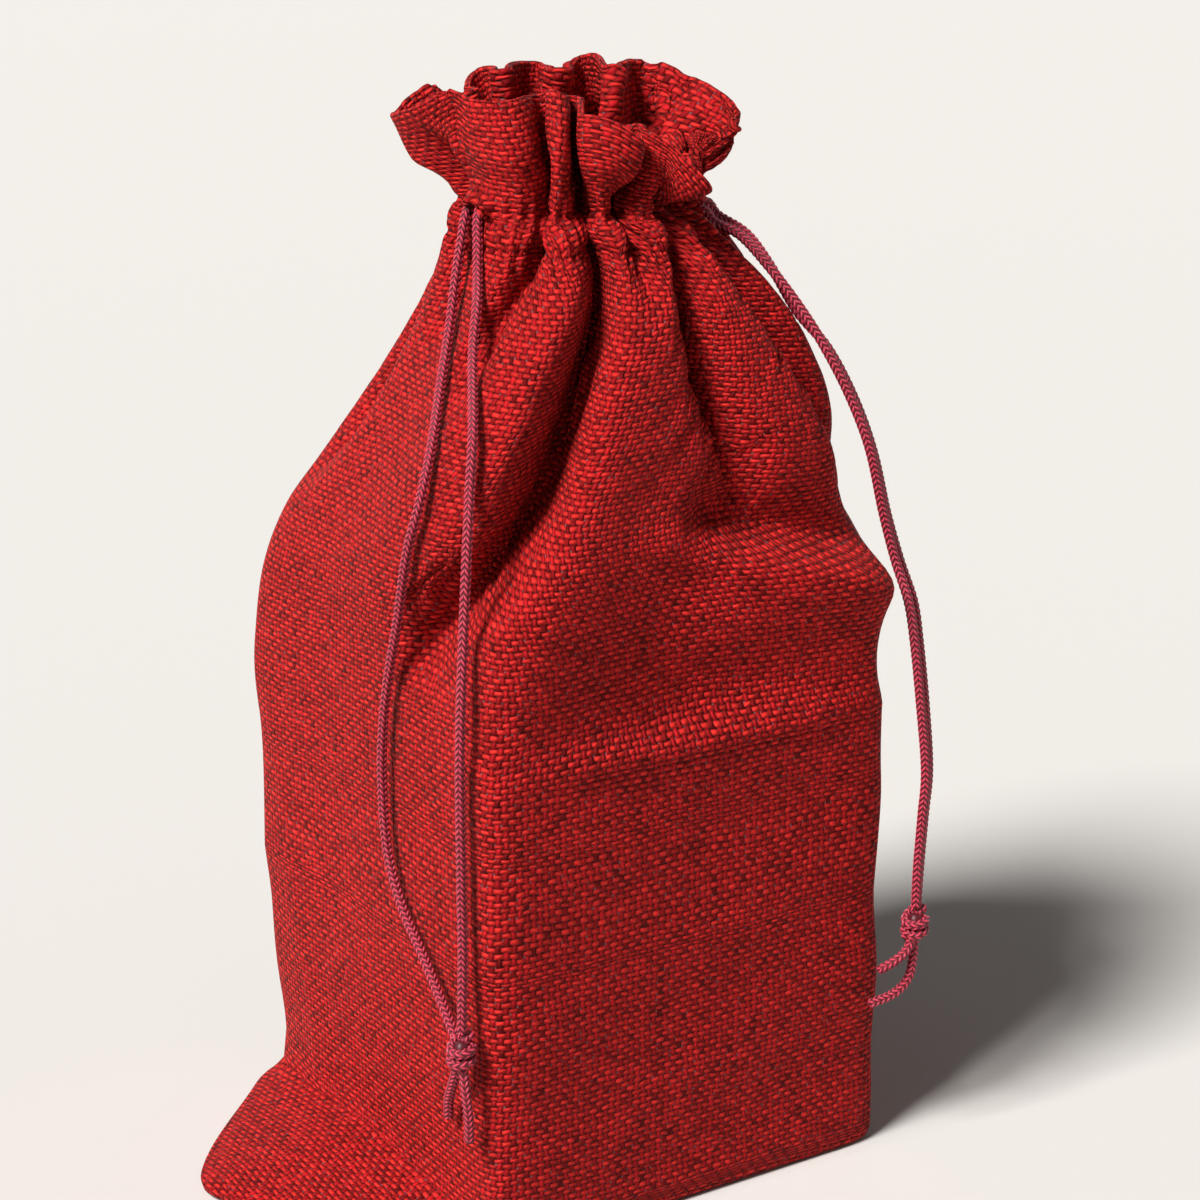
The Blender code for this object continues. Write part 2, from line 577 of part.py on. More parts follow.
def make_knot(string, material):
    """The knot's outer shape with its two tails."""
    place = Vector(string.knot) * MM
    bm = bmesh.new()
    bmesh.ops.create_uvsphere(bm, u_segments=16, v_segments=10, radius=0.5)
    bmesh.ops.scale(bm, vec=(KNOT_WIDTH, KNOT_WIDTH, KNOT_LENGTH), verts=bm.verts)
    bmesh.ops.translate(bm, vec=place, verts=bm.verts)
    mesh = bpy.data.meshes.new(f"{string.side}_knot")
    bm.to_mesh(mesh)
    bm.free()
    mesh.shade_smooth()
    knot = add_object(f"{string.side}_knot", mesh, material)
    for number, tail in enumerate(string.tails, start=1):
        route = smooth_route([place] + in_metres(tail))
        tube = make_tube(f"{string.side}_tail_{number}", evenly(route, 6), CORD_DIAMETER, material)
        combine(knot, tube_as_mesh(tube), "UNION")
    return knot


def clear_scene():
    for obj in list(bpy.data.objects):
        bpy.data.objects.remove(obj)


def main():
    clear_scene()
    cloth = make_material("red_linen_look_cloth", (0.42, 0.012, 0.014), 0.85)
    braid = make_material("raspberry_braided_cord", (0.25, 0.02, 0.06), 0.5)
    pouch = make_pouch(cloth)
    for string in DRAWSTRINGS:
        points = drawstring_points(string)
        make_tube(f"{string.side}_drawstring", points, CORD_DIAMETER, braid)
        cut_casing(pouch, string, points, cloth)
        make_knot(string, braid)


main()
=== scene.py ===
"""Kinchaku drawstring pouch: the looks of every piece, on the CAD model's frame.

Metres, +Z up, the front panel faces -Y and the left panel -X. The cloth is one bag of plain weave. Its
place in the flat bag, in metres of girth and of length, is its UV map, so the weave keeps its size in
every gather. Its folds start from the CAD model's form and settle in a short cloth simulation.
"""

import math
from collections import namedtuple
from functools import partial

import bmesh
import bpy
import numpy as np
from mathutils import Matrix, Vector


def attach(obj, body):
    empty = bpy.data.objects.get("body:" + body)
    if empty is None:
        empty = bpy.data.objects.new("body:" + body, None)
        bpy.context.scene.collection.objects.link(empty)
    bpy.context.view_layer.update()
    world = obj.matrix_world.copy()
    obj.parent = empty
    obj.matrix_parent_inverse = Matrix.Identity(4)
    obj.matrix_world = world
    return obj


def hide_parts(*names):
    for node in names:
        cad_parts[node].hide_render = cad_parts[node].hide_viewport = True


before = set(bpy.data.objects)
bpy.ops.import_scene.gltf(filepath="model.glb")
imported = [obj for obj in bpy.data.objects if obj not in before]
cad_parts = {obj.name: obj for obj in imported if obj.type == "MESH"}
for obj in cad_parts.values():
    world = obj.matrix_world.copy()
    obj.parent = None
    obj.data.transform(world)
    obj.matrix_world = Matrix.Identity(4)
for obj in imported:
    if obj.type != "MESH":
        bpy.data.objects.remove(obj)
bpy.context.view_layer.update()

bl_info = {
    "name": "Kinchaku drawstring pouch",
    "version": (1, 0, 0),
    "blender": (4, 5, 0),
    "location": "3D View > Sidebar > Kinchaku",
    "description": "Builds a drawn kinchaku pouch of woven cloth with two drawstrings",
    "category": "Object",
}

MM = 0.001

# The CAD model's sizes
BODY_WIDTH = 103 * MM
BODY_HEIGHT = 104 * MM
CORNER_POWER = 16.0
FOOT_ROUND = 2.5 * MM
EAR_LENGTH = 38 * MM
EAR_HEIGHT = 9 * MM
EAR_EDGE = 3.0 * MM
EAR_ANGLE = 175.0
EAR_HALF_ANGLE = 39.0
NECK_HEIGHT = 212 * MM
NECK_RADIUS = 22.5 * MM
NECK_MIDDLE = np.array([1.5 * MM, -1.0 * MM])
NECK_TILT = 3.0
NECK_TILT_ANGLE = 250.0
CORD_DIAMETER = 2.0 * MM
LEFT_EXIT_ANGLE = 185.0
RIGHT_EXIT_ANGLE = 339.5
KNOT_LENGTH = 8.0 * MM
KNOT_WIDTH = 6.4 * MM
KNOT_GAP = 0.35 * MM

# The flat bag, which the cloth's simulation and weave go by
GIRTH = 398 * MM
FRILL_LENGTH = 26 * MM

# The camera that the photograph was fitted to, for a square frame
CAMERA_PLACE = Vector((-0.32883, -0.51325, 0.30727))
CAMERA_AZIMUTH = -33.318
CAMERA_ELEVATION = 16.8415
CAMERA_LENS = 87.0

Shoulder = namedtuple("Shoulder", "rise share power lean")
Fold = namedtuple("Fold", "name path height before after")
Crease = namedtuple("Crease", "name path height width")
Drawstring = namedtuple("Drawstring", "side exit_angle strand_one strand_two knot tails")

SHOULDER = [
    Shoulder(0.00, 1.000, CORNER_POWER, 0.0 * MM),
    Shoulder(0.10, 1.010, 13.0, 0.6 * MM),
    Shoulder(0.25, 1.020, 9.0, 1.5 * MM),
    Shoulder(0.36, 0.985, 7.0, 2.2 * MM),
    Shoulder(0.45, 0.900, 5.6, 3.4 * MM),
    Shoulder(0.57, 0.765, 4.4, 5.6 * MM),
    Shoulder(0.67, 0.635, 3.6, 6.4 * MM),
    Shoulder(0.77, 0.490, 3.0, 6.2 * MM),
    Shoulder(0.86, 0.345, 2.6, 4.6 * MM),
    Shoulder(0.95, 0.165, 2.2, 1.8 * MM),
    Shoulder(1.00, 0.040, 2.0, 0.0 * MM),
]
LEAN_ANGLE = -33.3

# Folds by their paths (rise, angle) and how far they stand out (rise, mm); before and after are their
# half-widths in degrees. The valleys take in the girth that the narrowing shoulder has left over.
FOLDS = [
    Fold("front_tuck", [(0.0, 266), (1.0, 258)],
         [(0.00, 0), (0.02, -1.8), (0.05, -4.8), (0.09, -6.6), (0.14, -7.0), (0.25, -7.0), (0.45, -7.0),
          (0.65, -4.0), (0.85, 0)], 36, 44),
    Fold("left_ridge", [(0.25, 190), (0.45, 202), (0.60, 208), (0.78, 214), (1.00, 230)],
         [(0.10, 0), (0.30, 3.0), (0.45, 6.0), (0.60, 7.0), (0.78, 5.0), (0.92, 1.5), (1.00, 0)], 24, 7),
    Fold("deep_valley", [(0.20, 203), (0.34, 214), (0.48, 220), (0.60, 221), (0.72, 224), (0.80, 229),
                         (0.90, 236), (1.00, 240)],
         [(0.10, 0), (0.22, -8), (0.34, -15), (0.48, -21), (0.60, -22), (0.72, -21), (0.90, -18),
          (1.00, -14)], 6.0, 10.0),
    Fold("cord_valley", [(0.66, 198), (0.76, 199), (0.84, 204), (0.92, 213), (1.00, 219)],
         [(0.62, 0), (0.74, -5), (0.84, -8), (0.92, -10), (1.00, -13)], 4.5, 4.5),
    Fold("slit_pucker", [(0.80, 256), (1.00, 262)],
         [(0.80, 0), (0.88, -3), (0.94, -7), (1.00, -12)], 4.5, 4.5),
    Fold("middle_valley", [(0.46, 288), (0.58, 280), (0.70, 274), (0.80, 273), (0.88, 277), (1.00, 287)],
         [(0.40, 0), (0.54, -9), (0.66, -14), (0.80, -16), (0.90, -16), (1.00, -14)], 5.0, 6.0),
    Fold("right_valley", [(0.40, 324), (0.60, 316), (0.80, 308), (0.90, 305), (1.00, 304)],
         [(0.34, 0), (0.50, -8), (0.64, -12), (0.80, -15), (0.90, -16), (1.00, -14)], 5.4, 5.4),
    Fold("right_exit_valley", [(0.40, 345), (0.60, 341), (0.80, 334), (1.00, 324)],
         [(0.36, 0), (0.50, -8), (0.64, -12), (0.80, -15), (0.90, -16), (1.00, -14)], 5.4, 5.4),
    Fold("back_valley_one", [(0.40, 18), (0.70, 10), (1.00, -6)],
         [(0.46, 0), (0.62, -6), (0.80, -11.5), (1.00, -11.3)], 5.4, 5.4),
    Fold("back_valley_two", [(0.15, 44), (0.50, 40), (0.80, 32), (1.00, 22)],
         [(0.15, 0), (0.34, -8), (0.50, -13), (0.70, -14), (1.00, -11.3)], 7.0, 6.0),
    Fold("back_valley_three", [(0.50, 66), (1.00, 51)],
         [(0.62, 0), (0.76, -6), (0.88, -11), (1.00, -11.3)], 5.0, 5.0),
    Fold("back_valley_four", [(0.30, 92), (0.60, 88), (1.00, 81)],
         [(0.34, 0), (0.50, -6), (0.66, -11), (0.84, -12), (1.00, -11.3)], 5.6, 5.6),
    Fold("back_valley_five", [(0.50, 118), (1.00, 111)],
         [(0.56, 0), (0.72, -6), (0.86, -11), (1.00, -11.3)], 5.0, 5.0),
    Fold("back_valley_six", [(0.30, 140), (0.60, 143), (1.00, 140)],
         [(0.36, 0), (0.52, -6), (0.66, -10), (0.84, -11.5), (1.00, -11.3)], 5.4, 5.6),
    Fold("left_exit_valley", [(0.60, 172), (1.00, 170)],
         [(0.70, 0), (0.84, -6), (0.92, -9), (1.00, -11.3)], 5.0, 5.0),
    Fold("left_back_slack", [(0.0, 137), (1.0, 137)], [(0.00, 2.6), (0.20, 2.4), (0.40, 0)], 14, 14),
]

# Creases that run around the bag, by their paths (angle, rise), how far they stand out (angle, mm) and
# their half-widths in rise
CREASES = [
    Crease("star_ridge", [(250, 0.42), (273, 0.36), (294, 0.31), (325, 0.23)],
           [(246, 0), (262, 1.8), (288, 4.6), (306, 4.0), (322, 0)], 0.045),
    Crease("star_hollow", [(272, 0.44), (300, 0.39), (325, 0.335)],
           [(262, 0), (282, -4.6), (308, -6.0), (326, 0)], 0.045),
    Crease("front_edge_roll", [(238, 0.02), (325, 0.02)], [(232, 0), (244, 1.2), (300, 1.2), (318, 0)], 0.05),
]

# The left fold's crest, which leans over its valley
LIP_PATH = [(0.25, 188), (0.45, 206), (0.60, 210), (0.78, 218), (1.00, 232)]
LIP_TURN = 7.0
LIP_HALF_ANGLE = 9.0

# How far the cloth stands off the filling's back left corner, between two heights
CORNER_SLACK = 2.6 * MM
SLACK_HEIGHTS = (15 * MM, 45 * MM)
SLACK_ANGLE = 137.0
SLACK_HALF_ANGLE = 14.0

# The waves on the body's faces, and the flat turned in at the back of its left face
FACE_WAVE = 0.45 * MM
TURNED_IN_SLOPE = 0.1
TURNED_IN_START = 39 * MM
TURNED_IN_LEAN = 0.18

# How gently the cloth's columns run past the start of a fold
COLUMN_PASSES = 40

# How far the frill's plain form is smoothed out of its folds, which then deepen to keep the girth
SMOOTHING_PASSES = 80

# The casing, drawn up on the drawstrings between its two rows of stitches: its depth below the neck, its
# roll, the grooves' half-width as a share of its depth, and its fine puckers around the whole girth
CASING_DEPTH = 9.0 * MM
CASING_ROLL = 1.4 * MM
STITCH_GROOVE = 0.45 * MM
STITCH_HALF_WIDTH = 0.12
PUCKERS = 104
PUCKER_HEIGHT = 0.65 * MM

# The hood of cloth over each pair of cord exits, by the exits' places along the girth
EXIT_HOOD = 5.0 * MM
HOOD_HALF_WIDTH = 5 * MM
HOOD_HALF_HEIGHT = 2.8 * MM
EXIT_PLACES = (1.5 * MM, 0.5 * GIRTH)

# The level roll and the dent above it, across the right of the front panel
ROLL_ANGLE = 298.0
ROLL_HALF_ANGLE = 40.0
ROLL_RISE = 0.24
ROLL_HALF_RISE = 0.08
ROLL_HEIGHT = 2.6 * MM
DENT_RISE = 0.40
DENT_HALF_RISE = 0.10
DENT_DEPTH = 4.6 * MM

# The rows of the finished cloth: their spacing along the shoulder, in the casing and up the frill
SHOULDER_ROW = 1.9 * MM
CASING_ROW = 0.8 * MM
FRILL_ROW = 1.5 * MM

# The frill's rim, in millimetres from the neck's middle: to the right, toward the viewer, and the height.
# The first half runs from the left exit past the front to the right exit, as the photograph shows it. The
# second runs back behind it, where only parts of the rim are seen.
RIM_HALVES = [
    [
        (-25, 12, 234.5), (-22, 16, 233.5), (-19, 18, 233.5), (-15, 19, 233.5), (-11.5, 18, 234),
        (-9, 13, 234.5), (-7.5, 7, 234.5), (-5.5, 13, 235.5), (-3.5, 16, 235.5), (-1.5, 15, 234.5),
        (-1, 10, 233), (-0.5, 2, 232), (0.5, 10, 232), (1, 18, 230.5), (3, 21.5, 231), (6, 23, 230.5),
        (9, 24, 229.5), (12, 24, 227.5), (14, 23, 226), (14, 18, 226), (13, 13, 227), (12, 8, 227.5),
        (11.5, 5, 228), (13, 8, 228), (15.5, 11.5, 226.5), (19.5, 15, 224), (23.5, 18, 220.5),
        (27, 18, 217), (27.5, 15, 215.5), (26, 8, 216.5), (24.5, 2, 219.5), (23, -3, 222.5),
        (22, -8, 224), (25, -6, 224.5), (28.5, -3, 224.5), (32, -2, 224.5), (34.5, -3, 225),
        (35, -6, 227.5),
    ],
    [
        (35, -6, 227.5), (34, -11, 229.5), (31, -15, 231), (26, -20, 233.5), (20.5, -23, 235.5),
        (15.5, -24, 237), (11.5, -22, 237.5), (9.5, -16, 237.5), (8.5, -9, 237.5), (7, -15, 238),
        (5, -22, 238.5), (1.5, -24.5, 238), (-1.5, -20, 237.5), (-3, -10, 237.5), (-5, -18, 237.5),
        (-8.5, -24, 237.5), (-12.5, -22, 237.5), (-14.5, -15, 237.5), (-15.5, -9, 237), (-17, -16, 237),
        (-20, -20, 236), (-23, -16, 234.5), (-23.5, -9, 233.5), (-23.5, -4, 233), (-25, -8, 233),
        (-28, -11, 233.5), (-31, -9, 233.5), (-34.5, -6, 231.5), (-37.5, -3, 228.5), (-38, 0, 228.5),
        (-36.5, 4, 229), (-33, 8, 230.5), (-28.5, 11, 233), (-25, 12, 234.5),
    ],
]

# Where a slit in the rim meets a valley at the neck: the valley's place along its half of the girth, in
# mm, and the number of the slit's point in the rim
RIM_SLITS = [
    [(31, 6), (60, 11), (94, 22), (145, 32)],
    [(42, 8), (85, 13), (114, 18), (142, 23)],
]

# Points of a smooth route between two of its given points
ROUTE_STEPS = 24

# How a drawstring presses the cloth in: how far beyond its route points are looked at, and the most depth
PRESS_REACH = 6 * MM
PRESS_LIMIT = 4 * MM

# How many times a knot's cord goes around
KNOT_TURNS = 2.35

# How far a plait's strands rise across one rib, as a share of their pitch, the flatness of its ribs, and
# the part of its relief that lies inside the cord's diameter
PLAIT_SLANT = 0.85
RIB_FLATNESS = 0.4
RELIEF_INSIDE = 0.35

# A plaited cord's mesh: its points around and the step between its rings
CORD_SIDES = 24
CORD_STEP = 0.26 * MM

DRAWSTRINGS = [
    Drawstring(
        "left",
        LEFT_EXIT_ANGLE,
        [
            (-26.0, -2.4, 210.5), (-27.8, -3.2, 204.5), (-29.4, -4.0, 199.0), (-32.5, -6.4, 189.0),
            (-38.0, -12.0, 179.0), (-45.4, -20.2, 167.4), (-50.5, -24.0, 157.5), (-52.8, -22.5, 147.0),
            (-53.0, -18.5, 132.0), (-53.8, -15.0, 117.5), (-54.2, -13.3, 106.5), (-54.2, -12.5, 94.8),
            (-54.2, -14.2, 80.0), (-54.2, -20.0, 69.5), (-54.4, -28.0, 62.5), (-54.8, -35.0, 56.5),
        ],
        [
            (-24.8, -5.2, 210.5), (-26.4, -7.6, 204.5), (-28.2, -10.4, 199.0), (-31.2, -15.0, 194.0),
            (-35.4, -20.2, 185.0), (-42.4, -31.6, 172.5), (-45.4, -35.2, 162.0), (-47.5, -37.8, 154.5),
            (-50.0, -40.3, 139.5), (-52.6, -43.2, 125.4), (-53.9, -44.4, 112.8), (-54.3, -44.8, 100.4),
            (-54.4, -45.0, 84.0), (-54.6, -45.4, 67.5),
        ],
        (-56.0, -46.8, 47.2),
        [
            [(-56.0, -43.5, 40.0), (-55.2, -40.0, 34.0), (-54.2, -38.0, 28.5)],
            [(-56.0, -48.0, 40.0), (-55.4, -48.2, 33.0), (-55.0, -47.6, 27.0)],
        ],
    ),
    Drawstring(
        "right",
        RIGHT_EXIT_ANGLE,
        [
            (28.6, -14.0, 205.5), (31.8, -19.0, 203.0), (34.0, -26.0, 197.4), (37.6, -31.6, 189.8),
            (41.0, -36.5, 181.5), (45.0, -40.6, 171.0), (48.2, -44.0, 159.5), (51.8, -44.8, 145.0),
            (54.2, -46.4, 134.5), (55.2, -50.0, 126.0), (55.0, -52.8, 117.5), (55.8, -54.6, 103.5),
            (56.8, -55.8, 88.5), (56.4, -55.6, 78.0), (55.8, -55.4, 66.0),
        ],
        [
            (32.8, -9.2, 206.0), (35.8, -15.6, 202.6), (37.2, -22.4, 196.6), (40.0, -28.2, 187.5),
            (44.2, -33.8, 180.0), (48.0, -38.4, 169.5), (51.0, -41.6, 158.0), (54.6, -42.4, 144.0),
            (57.0, -44.4, 133.6), (58.0, -48.2, 125.2), (57.8, -50.8, 116.8), (58.4, -52.8, 102.8),
            (59.2, -53.8, 88.0), (58.8, -53.4, 77.5), (58.0, -53.4, 66.0),
        ],
        (55.6, -55.4, 52.4),
        [
            [(53.0, -56.4, 47.8), (49.5, -56.4, 45.6), (45.5, -55.2, 43.6)],
            [(54.6, -56.2, 45.0), (53.2, -56.4, 40.5), (49.5, -56.0, 37.5), (43.5, -54.8, 36.0)],
        ],
    ),
]


def linear(hex_colour):
    """A linear colour from an sRGB hex value."""
    channels = [int(hex_colour[i : i + 2], 16) / 255 for i in (1, 3, 5)]
    return tuple(c / 12.92 if c <= 0.04045 else ((c + 0.055) / 1.055) ** 2.4 for c in channels)


# Curves and rings, as in the CAD model


def through(stations, at):
    """Values of a smooth curve through (place, value) stations, level beyond its ends."""
    x = np.array([station[0] for station in stations], float)
    y = np.array([station[1] for station in stations], float)
    slope = np.gradient(y, x)
    turning = np.ones(len(x), bool)
    turning[1:-1] = (y[1:-1] - y[:-2]) * (y[2:] - y[1:-1]) <= 0
    slope[turning] = 0.0
    at = np.clip(at, x[0], x[-1])
    k = np.clip(np.searchsorted(x, at, side="right") - 1, 0, len(x) - 2)
    span = x[k + 1] - x[k]
    t = (at - x[k]) / span
    return (
        y[k] * (1 + 2 * t) * (1 - t) ** 2
        + slope[k] * span * t * (1 - t) ** 2
        + y[k + 1] * t * t * (3 - 2 * t)
        + slope[k + 1] * span * t * t * (t - 1)
    )


def curve_point(a, b, c, d, t):
    """The point at t, from 0 to 1, between b and c on a smooth curve that passes a, b, c and d."""
    return 0.5 * (2 * b + (c - a) * t + (2 * a - 5 * b + 4 * c - d) * t * t + (3 * b - a - 3 * c + d) * t**3)


def bell(x):
    """1 where x is 0, falling off smoothly on both sides."""
    return np.exp(-(x**2))


def smooth_step(low, high, x):
    """From 0 at low to 1 at high, level beyond them."""
    t = np.clip((x - low) / (high - low), 0.0, 1.0)
    return t * t * (3 - 2 * t)


def turn_between(angle, middle):
    """Degrees from middle to angle, from -180 to 180."""
    return (angle - middle + 180.0) % 360.0 - 180.0


def polar(angle, radius, middle, height):
    """Points at a radius from a middle, one row for each angle."""
    a = np.radians(angle)
    x = middle[0] + radius * np.cos(a)
    y = middle[1] + radius * np.sin(a)
    return np.stack([x, y, np.broadcast_to(height, a.shape)], axis=1)


def tilt_with_neck(points, weight):
    """Points moved up or down with the tilted neck, by a weight from 0 to 1."""
    toward = math.radians(NECK_TILT_ANGLE)
    from_middle = points[:, :2] - NECK_MIDDLE
    ahead = from_middle[:, 0] * math.cos(toward) + from_middle[:, 1] * math.sin(toward)
    tilted = points.copy()
    tilted[:, 2] -= weight * math.tan(math.radians(NECK_TILT)) * ahead
    return tilted


def section_radius(angle, half_width, power):
    """Radius of a rounded square, as a superellipse."""
    a = np.radians(angle)
    across, along = np.abs(np.cos(a) / half_width), np.abs(np.sin(a) / half_width)
    return (across**power + along**power) ** (-1 / power)


def ear_outline(angle):
    """The ear's reach by angle, 1 at its tip and 0 past the body's corners."""
    softness = 0.08
    across = turn_between(angle, EAR_ANGLE) / EAR_HALF_ANGLE
    rounded = np.sqrt(across * across + softness * softness) - softness
    return np.clip(1.0 - rounded, 0.0, 1.0)


def body_ring(angle, height, ear_share=0.0, inset=0.0):
    """The cloth on the body at one height, reaching out by ear_share of the ear's length."""
    radius = section_radius(angle, BODY_WIDTH / 2, CORNER_POWER) - inset
    radius = radius + EAR_LENGTH * ear_share * ear_outline(angle)
    slack = smooth_step(*SLACK_HEIGHTS, height) * bell(turn_between(angle, SLACK_ANGLE) / SLACK_HALF_ANGLE)
    radius = radius + CORNER_SLACK * slack
    return eased(polar(angle, radius, (0.0, 0.0), height))


def eased(points):
    """The body's cloth eased off the filling: slack waves on its faces, and a flat turned in behind a
    crease near the left face's back corner."""
    x, y, z = points.T
    fade = smooth_step(0.0, 12 * MM, z) * (1 - smooth_step(BODY_HEIGHT - 14 * MM, BODY_HEIGHT, z))
    wave = np.sin(88 * y + 140 * z + 0.6) * np.sin(61 * x - 47 * z + 1.1)
    wave = wave + 0.5 * np.sin(150 * z + 90 * x - 70 * y)
    outward = FACE_WAVE * fade * wave
    crease = TURNED_IN_START - TURNED_IN_LEAN * (85 * MM - z)
    turned_in = TURNED_IN_SLOPE * np.maximum(y - crease, 0.0) * fade * (x < -40 * MM)
    length = np.maximum(np.hypot(x, y), 1e-9)
    return points + np.stack([outward * x / length + turned_in, outward * y / length, 0 * z], axis=1)


def ear_ring(angle, share):
    """The ear's upper face where it has share of its reach left, level with the foot elsewhere."""
    slope = (EAR_HEIGHT - EAR_EDGE) * (1 - share) ** 1.3
    height = EAR_EDGE + slope * (0.5 + 0.5 * ear_outline(angle))
    return body_ring(angle, height, share)


def fold_height(angle, rise):
    """How far the folds move the cloth outward."""
    total = np.zeros_like(angle)
    for fold in FOLDS:
        turn = turn_between(angle, through(fold.path, rise))
        width = np.where(turn < 0, fold.before, fold.after)
        total += through(fold.height, rise) * MM * bell(turn / width)
    for crease in CREASES:
        around = np.mod(angle, 360.0)
        place = through(crease.path, around)
        total += through(crease.height, around) * MM * bell((rise - place) / crease.width)
    roll = ROLL_HEIGHT * math.exp(-(((rise - ROLL_RISE) / ROLL_HALF_RISE) ** 2))
    dent = DENT_DEPTH * math.exp(-(((rise - DENT_RISE) / DENT_HALF_RISE) ** 2))
    reach = smooth_step(0.0, 0.6, 1 - np.abs(turn_between(angle, ROLL_ANGLE)) / ROLL_HALF_ANGLE)
    return total + (roll - dent) * reach


def shoulder_ring(angle, rise):
    """The cloth at one rise between the body's top edge and the neck."""
    share, power, lean = (
        through([(station.rise, getattr(station, field)) for station in SHOULDER], rise)
        for field in ("share", "power", "lean")
    )
    half_width = NECK_RADIUS + (BODY_WIDTH / 2 - NECK_RADIUS) * share
    radius = section_radius(angle, half_width, power)
    radius = radius + fold_height(angle, rise)
    toward_neck = smooth_step(0.0, 1.0, rise)
    lean_way = np.array([math.cos(math.radians(LEAN_ANGLE)), math.sin(math.radians(LEAN_ANGLE))])
    middle = lean * lean_way + NECK_MIDDLE * toward_neck
    height = BODY_HEIGHT + (NECK_HEIGHT - BODY_HEIGHT) * rise
    turn = turn_between(angle, through(LIP_PATH, rise))
    lip = LIP_TURN * smooth_step(0.2, 0.4, rise) * (1 - smooth_step(0.85, 1.0, rise))
    lip = lip * bell(turn / LIP_HALF_ANGLE)
    return tilt_with_neck(polar(angle + lip, radius, middle, height), smooth_step(0.5, 1.0, rise))


def smooth_route(route, steps=ROUTE_STEPS):
    """A dense smooth curve through a route's points."""
    points = [np.array(point, float) for point in route]
    points = [2 * points[0] - points[1]] + points + [2 * points[-1] - points[-2]]
    dense = []
    for a, b, c, d in zip(points, points[1:], points[2:], points[3:]):
        dense += [curve_point(a, b, c, d, t) for t in np.linspace(0.0, 1.0, steps, endpoint=False)]
    return np.array(dense + [points[-2]])


def run_along(route):
    """The length along a route at each of its points."""
    return np.concatenate([[0.0], np.cumsum(np.linalg.norm(np.diff(route, axis=0), axis=1))])


def at_lengths(route, lengths):
    """Points of a route at given lengths along it."""
    run = run_along(route)
    return np.stack([np.interp(lengths, run, route[:, axis]) for axis in range(route.shape[1])], axis=1)


# The cloth's start: rows of points, one column for each step of the flat bag's girth


def column_angles(ring_at, rise, columns):
    """The angles at even steps of a ring's cloth, from the left side seam past the front, the right seam
    and the back. The seams turn from the body's side middles to the drawstrings' exits as they rise."""
    weight = smooth_step(0.0, 1.0, rise)
    left = 180.0 + (LEFT_EXIT_ANGLE - 180.0) * weight
    right = 360.0 + (RIGHT_EXIT_ANGLE - 360.0) * weight
    angles = np.linspace(0.0, 360.0, 360 * 16 + 1)
    run = run_along(ring_at(angles))
    left_run, right_run = np.interp([left, right], angles, run)
    half = columns // 2
    front = left_run + (right_run - left_run) * np.arange(half) / half
    back = right_run + (left_run + run[-1] - right_run) * np.arange(half) / half
    places = np.concatenate([front, back])
    return np.interp(np.mod(places, run[-1]), run, angles) + 360.0 * (places >= run[-1])


def on_the_girth(ring_at, columns):
    """A body ring's points at even steps of cloth."""
    return ring_at(column_angles(ring_at, 0.0, columns))


def shoulder_rows(rises, columns, passes):
    """The shoulder's rings at even steps of cloth. Passes of smoothing let its columns run on gently from
    row to row where a fold begins."""
    angles = [column_angles(lambda angle: shoulder_ring(angle, rise), rise, columns) for rise in rises]
    angles = np.array(angles)
    for _ in range(passes):
        angles[1:-1] = 0.5 * angles[1:-1] + 0.25 * (angles[:-2] + angles[2:])
    return [shoulder_ring(row, rise) for row, rise in zip(angles, rises)]


def rim_ring(columns):
    """The frill's rim, with its lobes and slits."""
    right = Vector((math.cos(math.radians(CAMERA_AZIMUTH)), math.sin(math.radians(CAMERA_AZIMUTH))))
    viewer = Vector((right.y, -right.x))
    share = np.arange(columns // 2) / (columns // 2)
    rows = []
    for half, slits in zip(RIM_HALVES, RIM_SLITS):
        route = smooth_route(half) * MM
        girth_places, numbers = np.array(slits).T
        girth_places = np.concatenate([[0.0], girth_places * MM, [GIRTH / 2]])
        rim_places = run_along(route)[np.concatenate([[0], numbers * ROUTE_STEPS, [-1]])]
        rows.append(at_lengths(route, np.interp(share * GIRTH / 2, girth_places, rim_places)))
    rim = np.concatenate(rows)
    x = NECK_MIDDLE[0] + rim[:, 0] * right.x + rim[:, 1] * viewer.x
    y = NECK_MIDDLE[1] + rim[:, 0] * right.y + rim[:, 1] * viewer.y
    return np.stack([x, y, rim[:, 2]], axis=1)


def frill_row(share, neck, rim):
    """The frill at a share of its way from neck to rim, waisted just above the drawstrings."""
    row = neck * (1 - share) + rim * share
    waist = 0.07 * math.sin(math.pi * min(share / 0.5, 1.0))
    row[:, :2] = NECK_MIDDLE + (row[:, :2] - NECK_MIDDLE) * (1 - waist)
    plain = row.copy()
    for _ in range(SMOOTHING_PASSES):
        plain = 0.5 * plain + 0.25 * (np.roll(plain, 1, 0) + np.roll(plain, -1, 0))
    deeper = [1.0 + 0.05 * k for k in range(20)]
    girths = [run_along(np.concatenate([closed, closed[:1]]))[-1]
              for closed in (plain + (row - plain) * k for k in deeper)]
    k = float(np.interp(GIRTH, girths, deeper))
    return plain + (row - plain) * k


Sheet = namedtuple("Sheet", "points lengths neck_row")


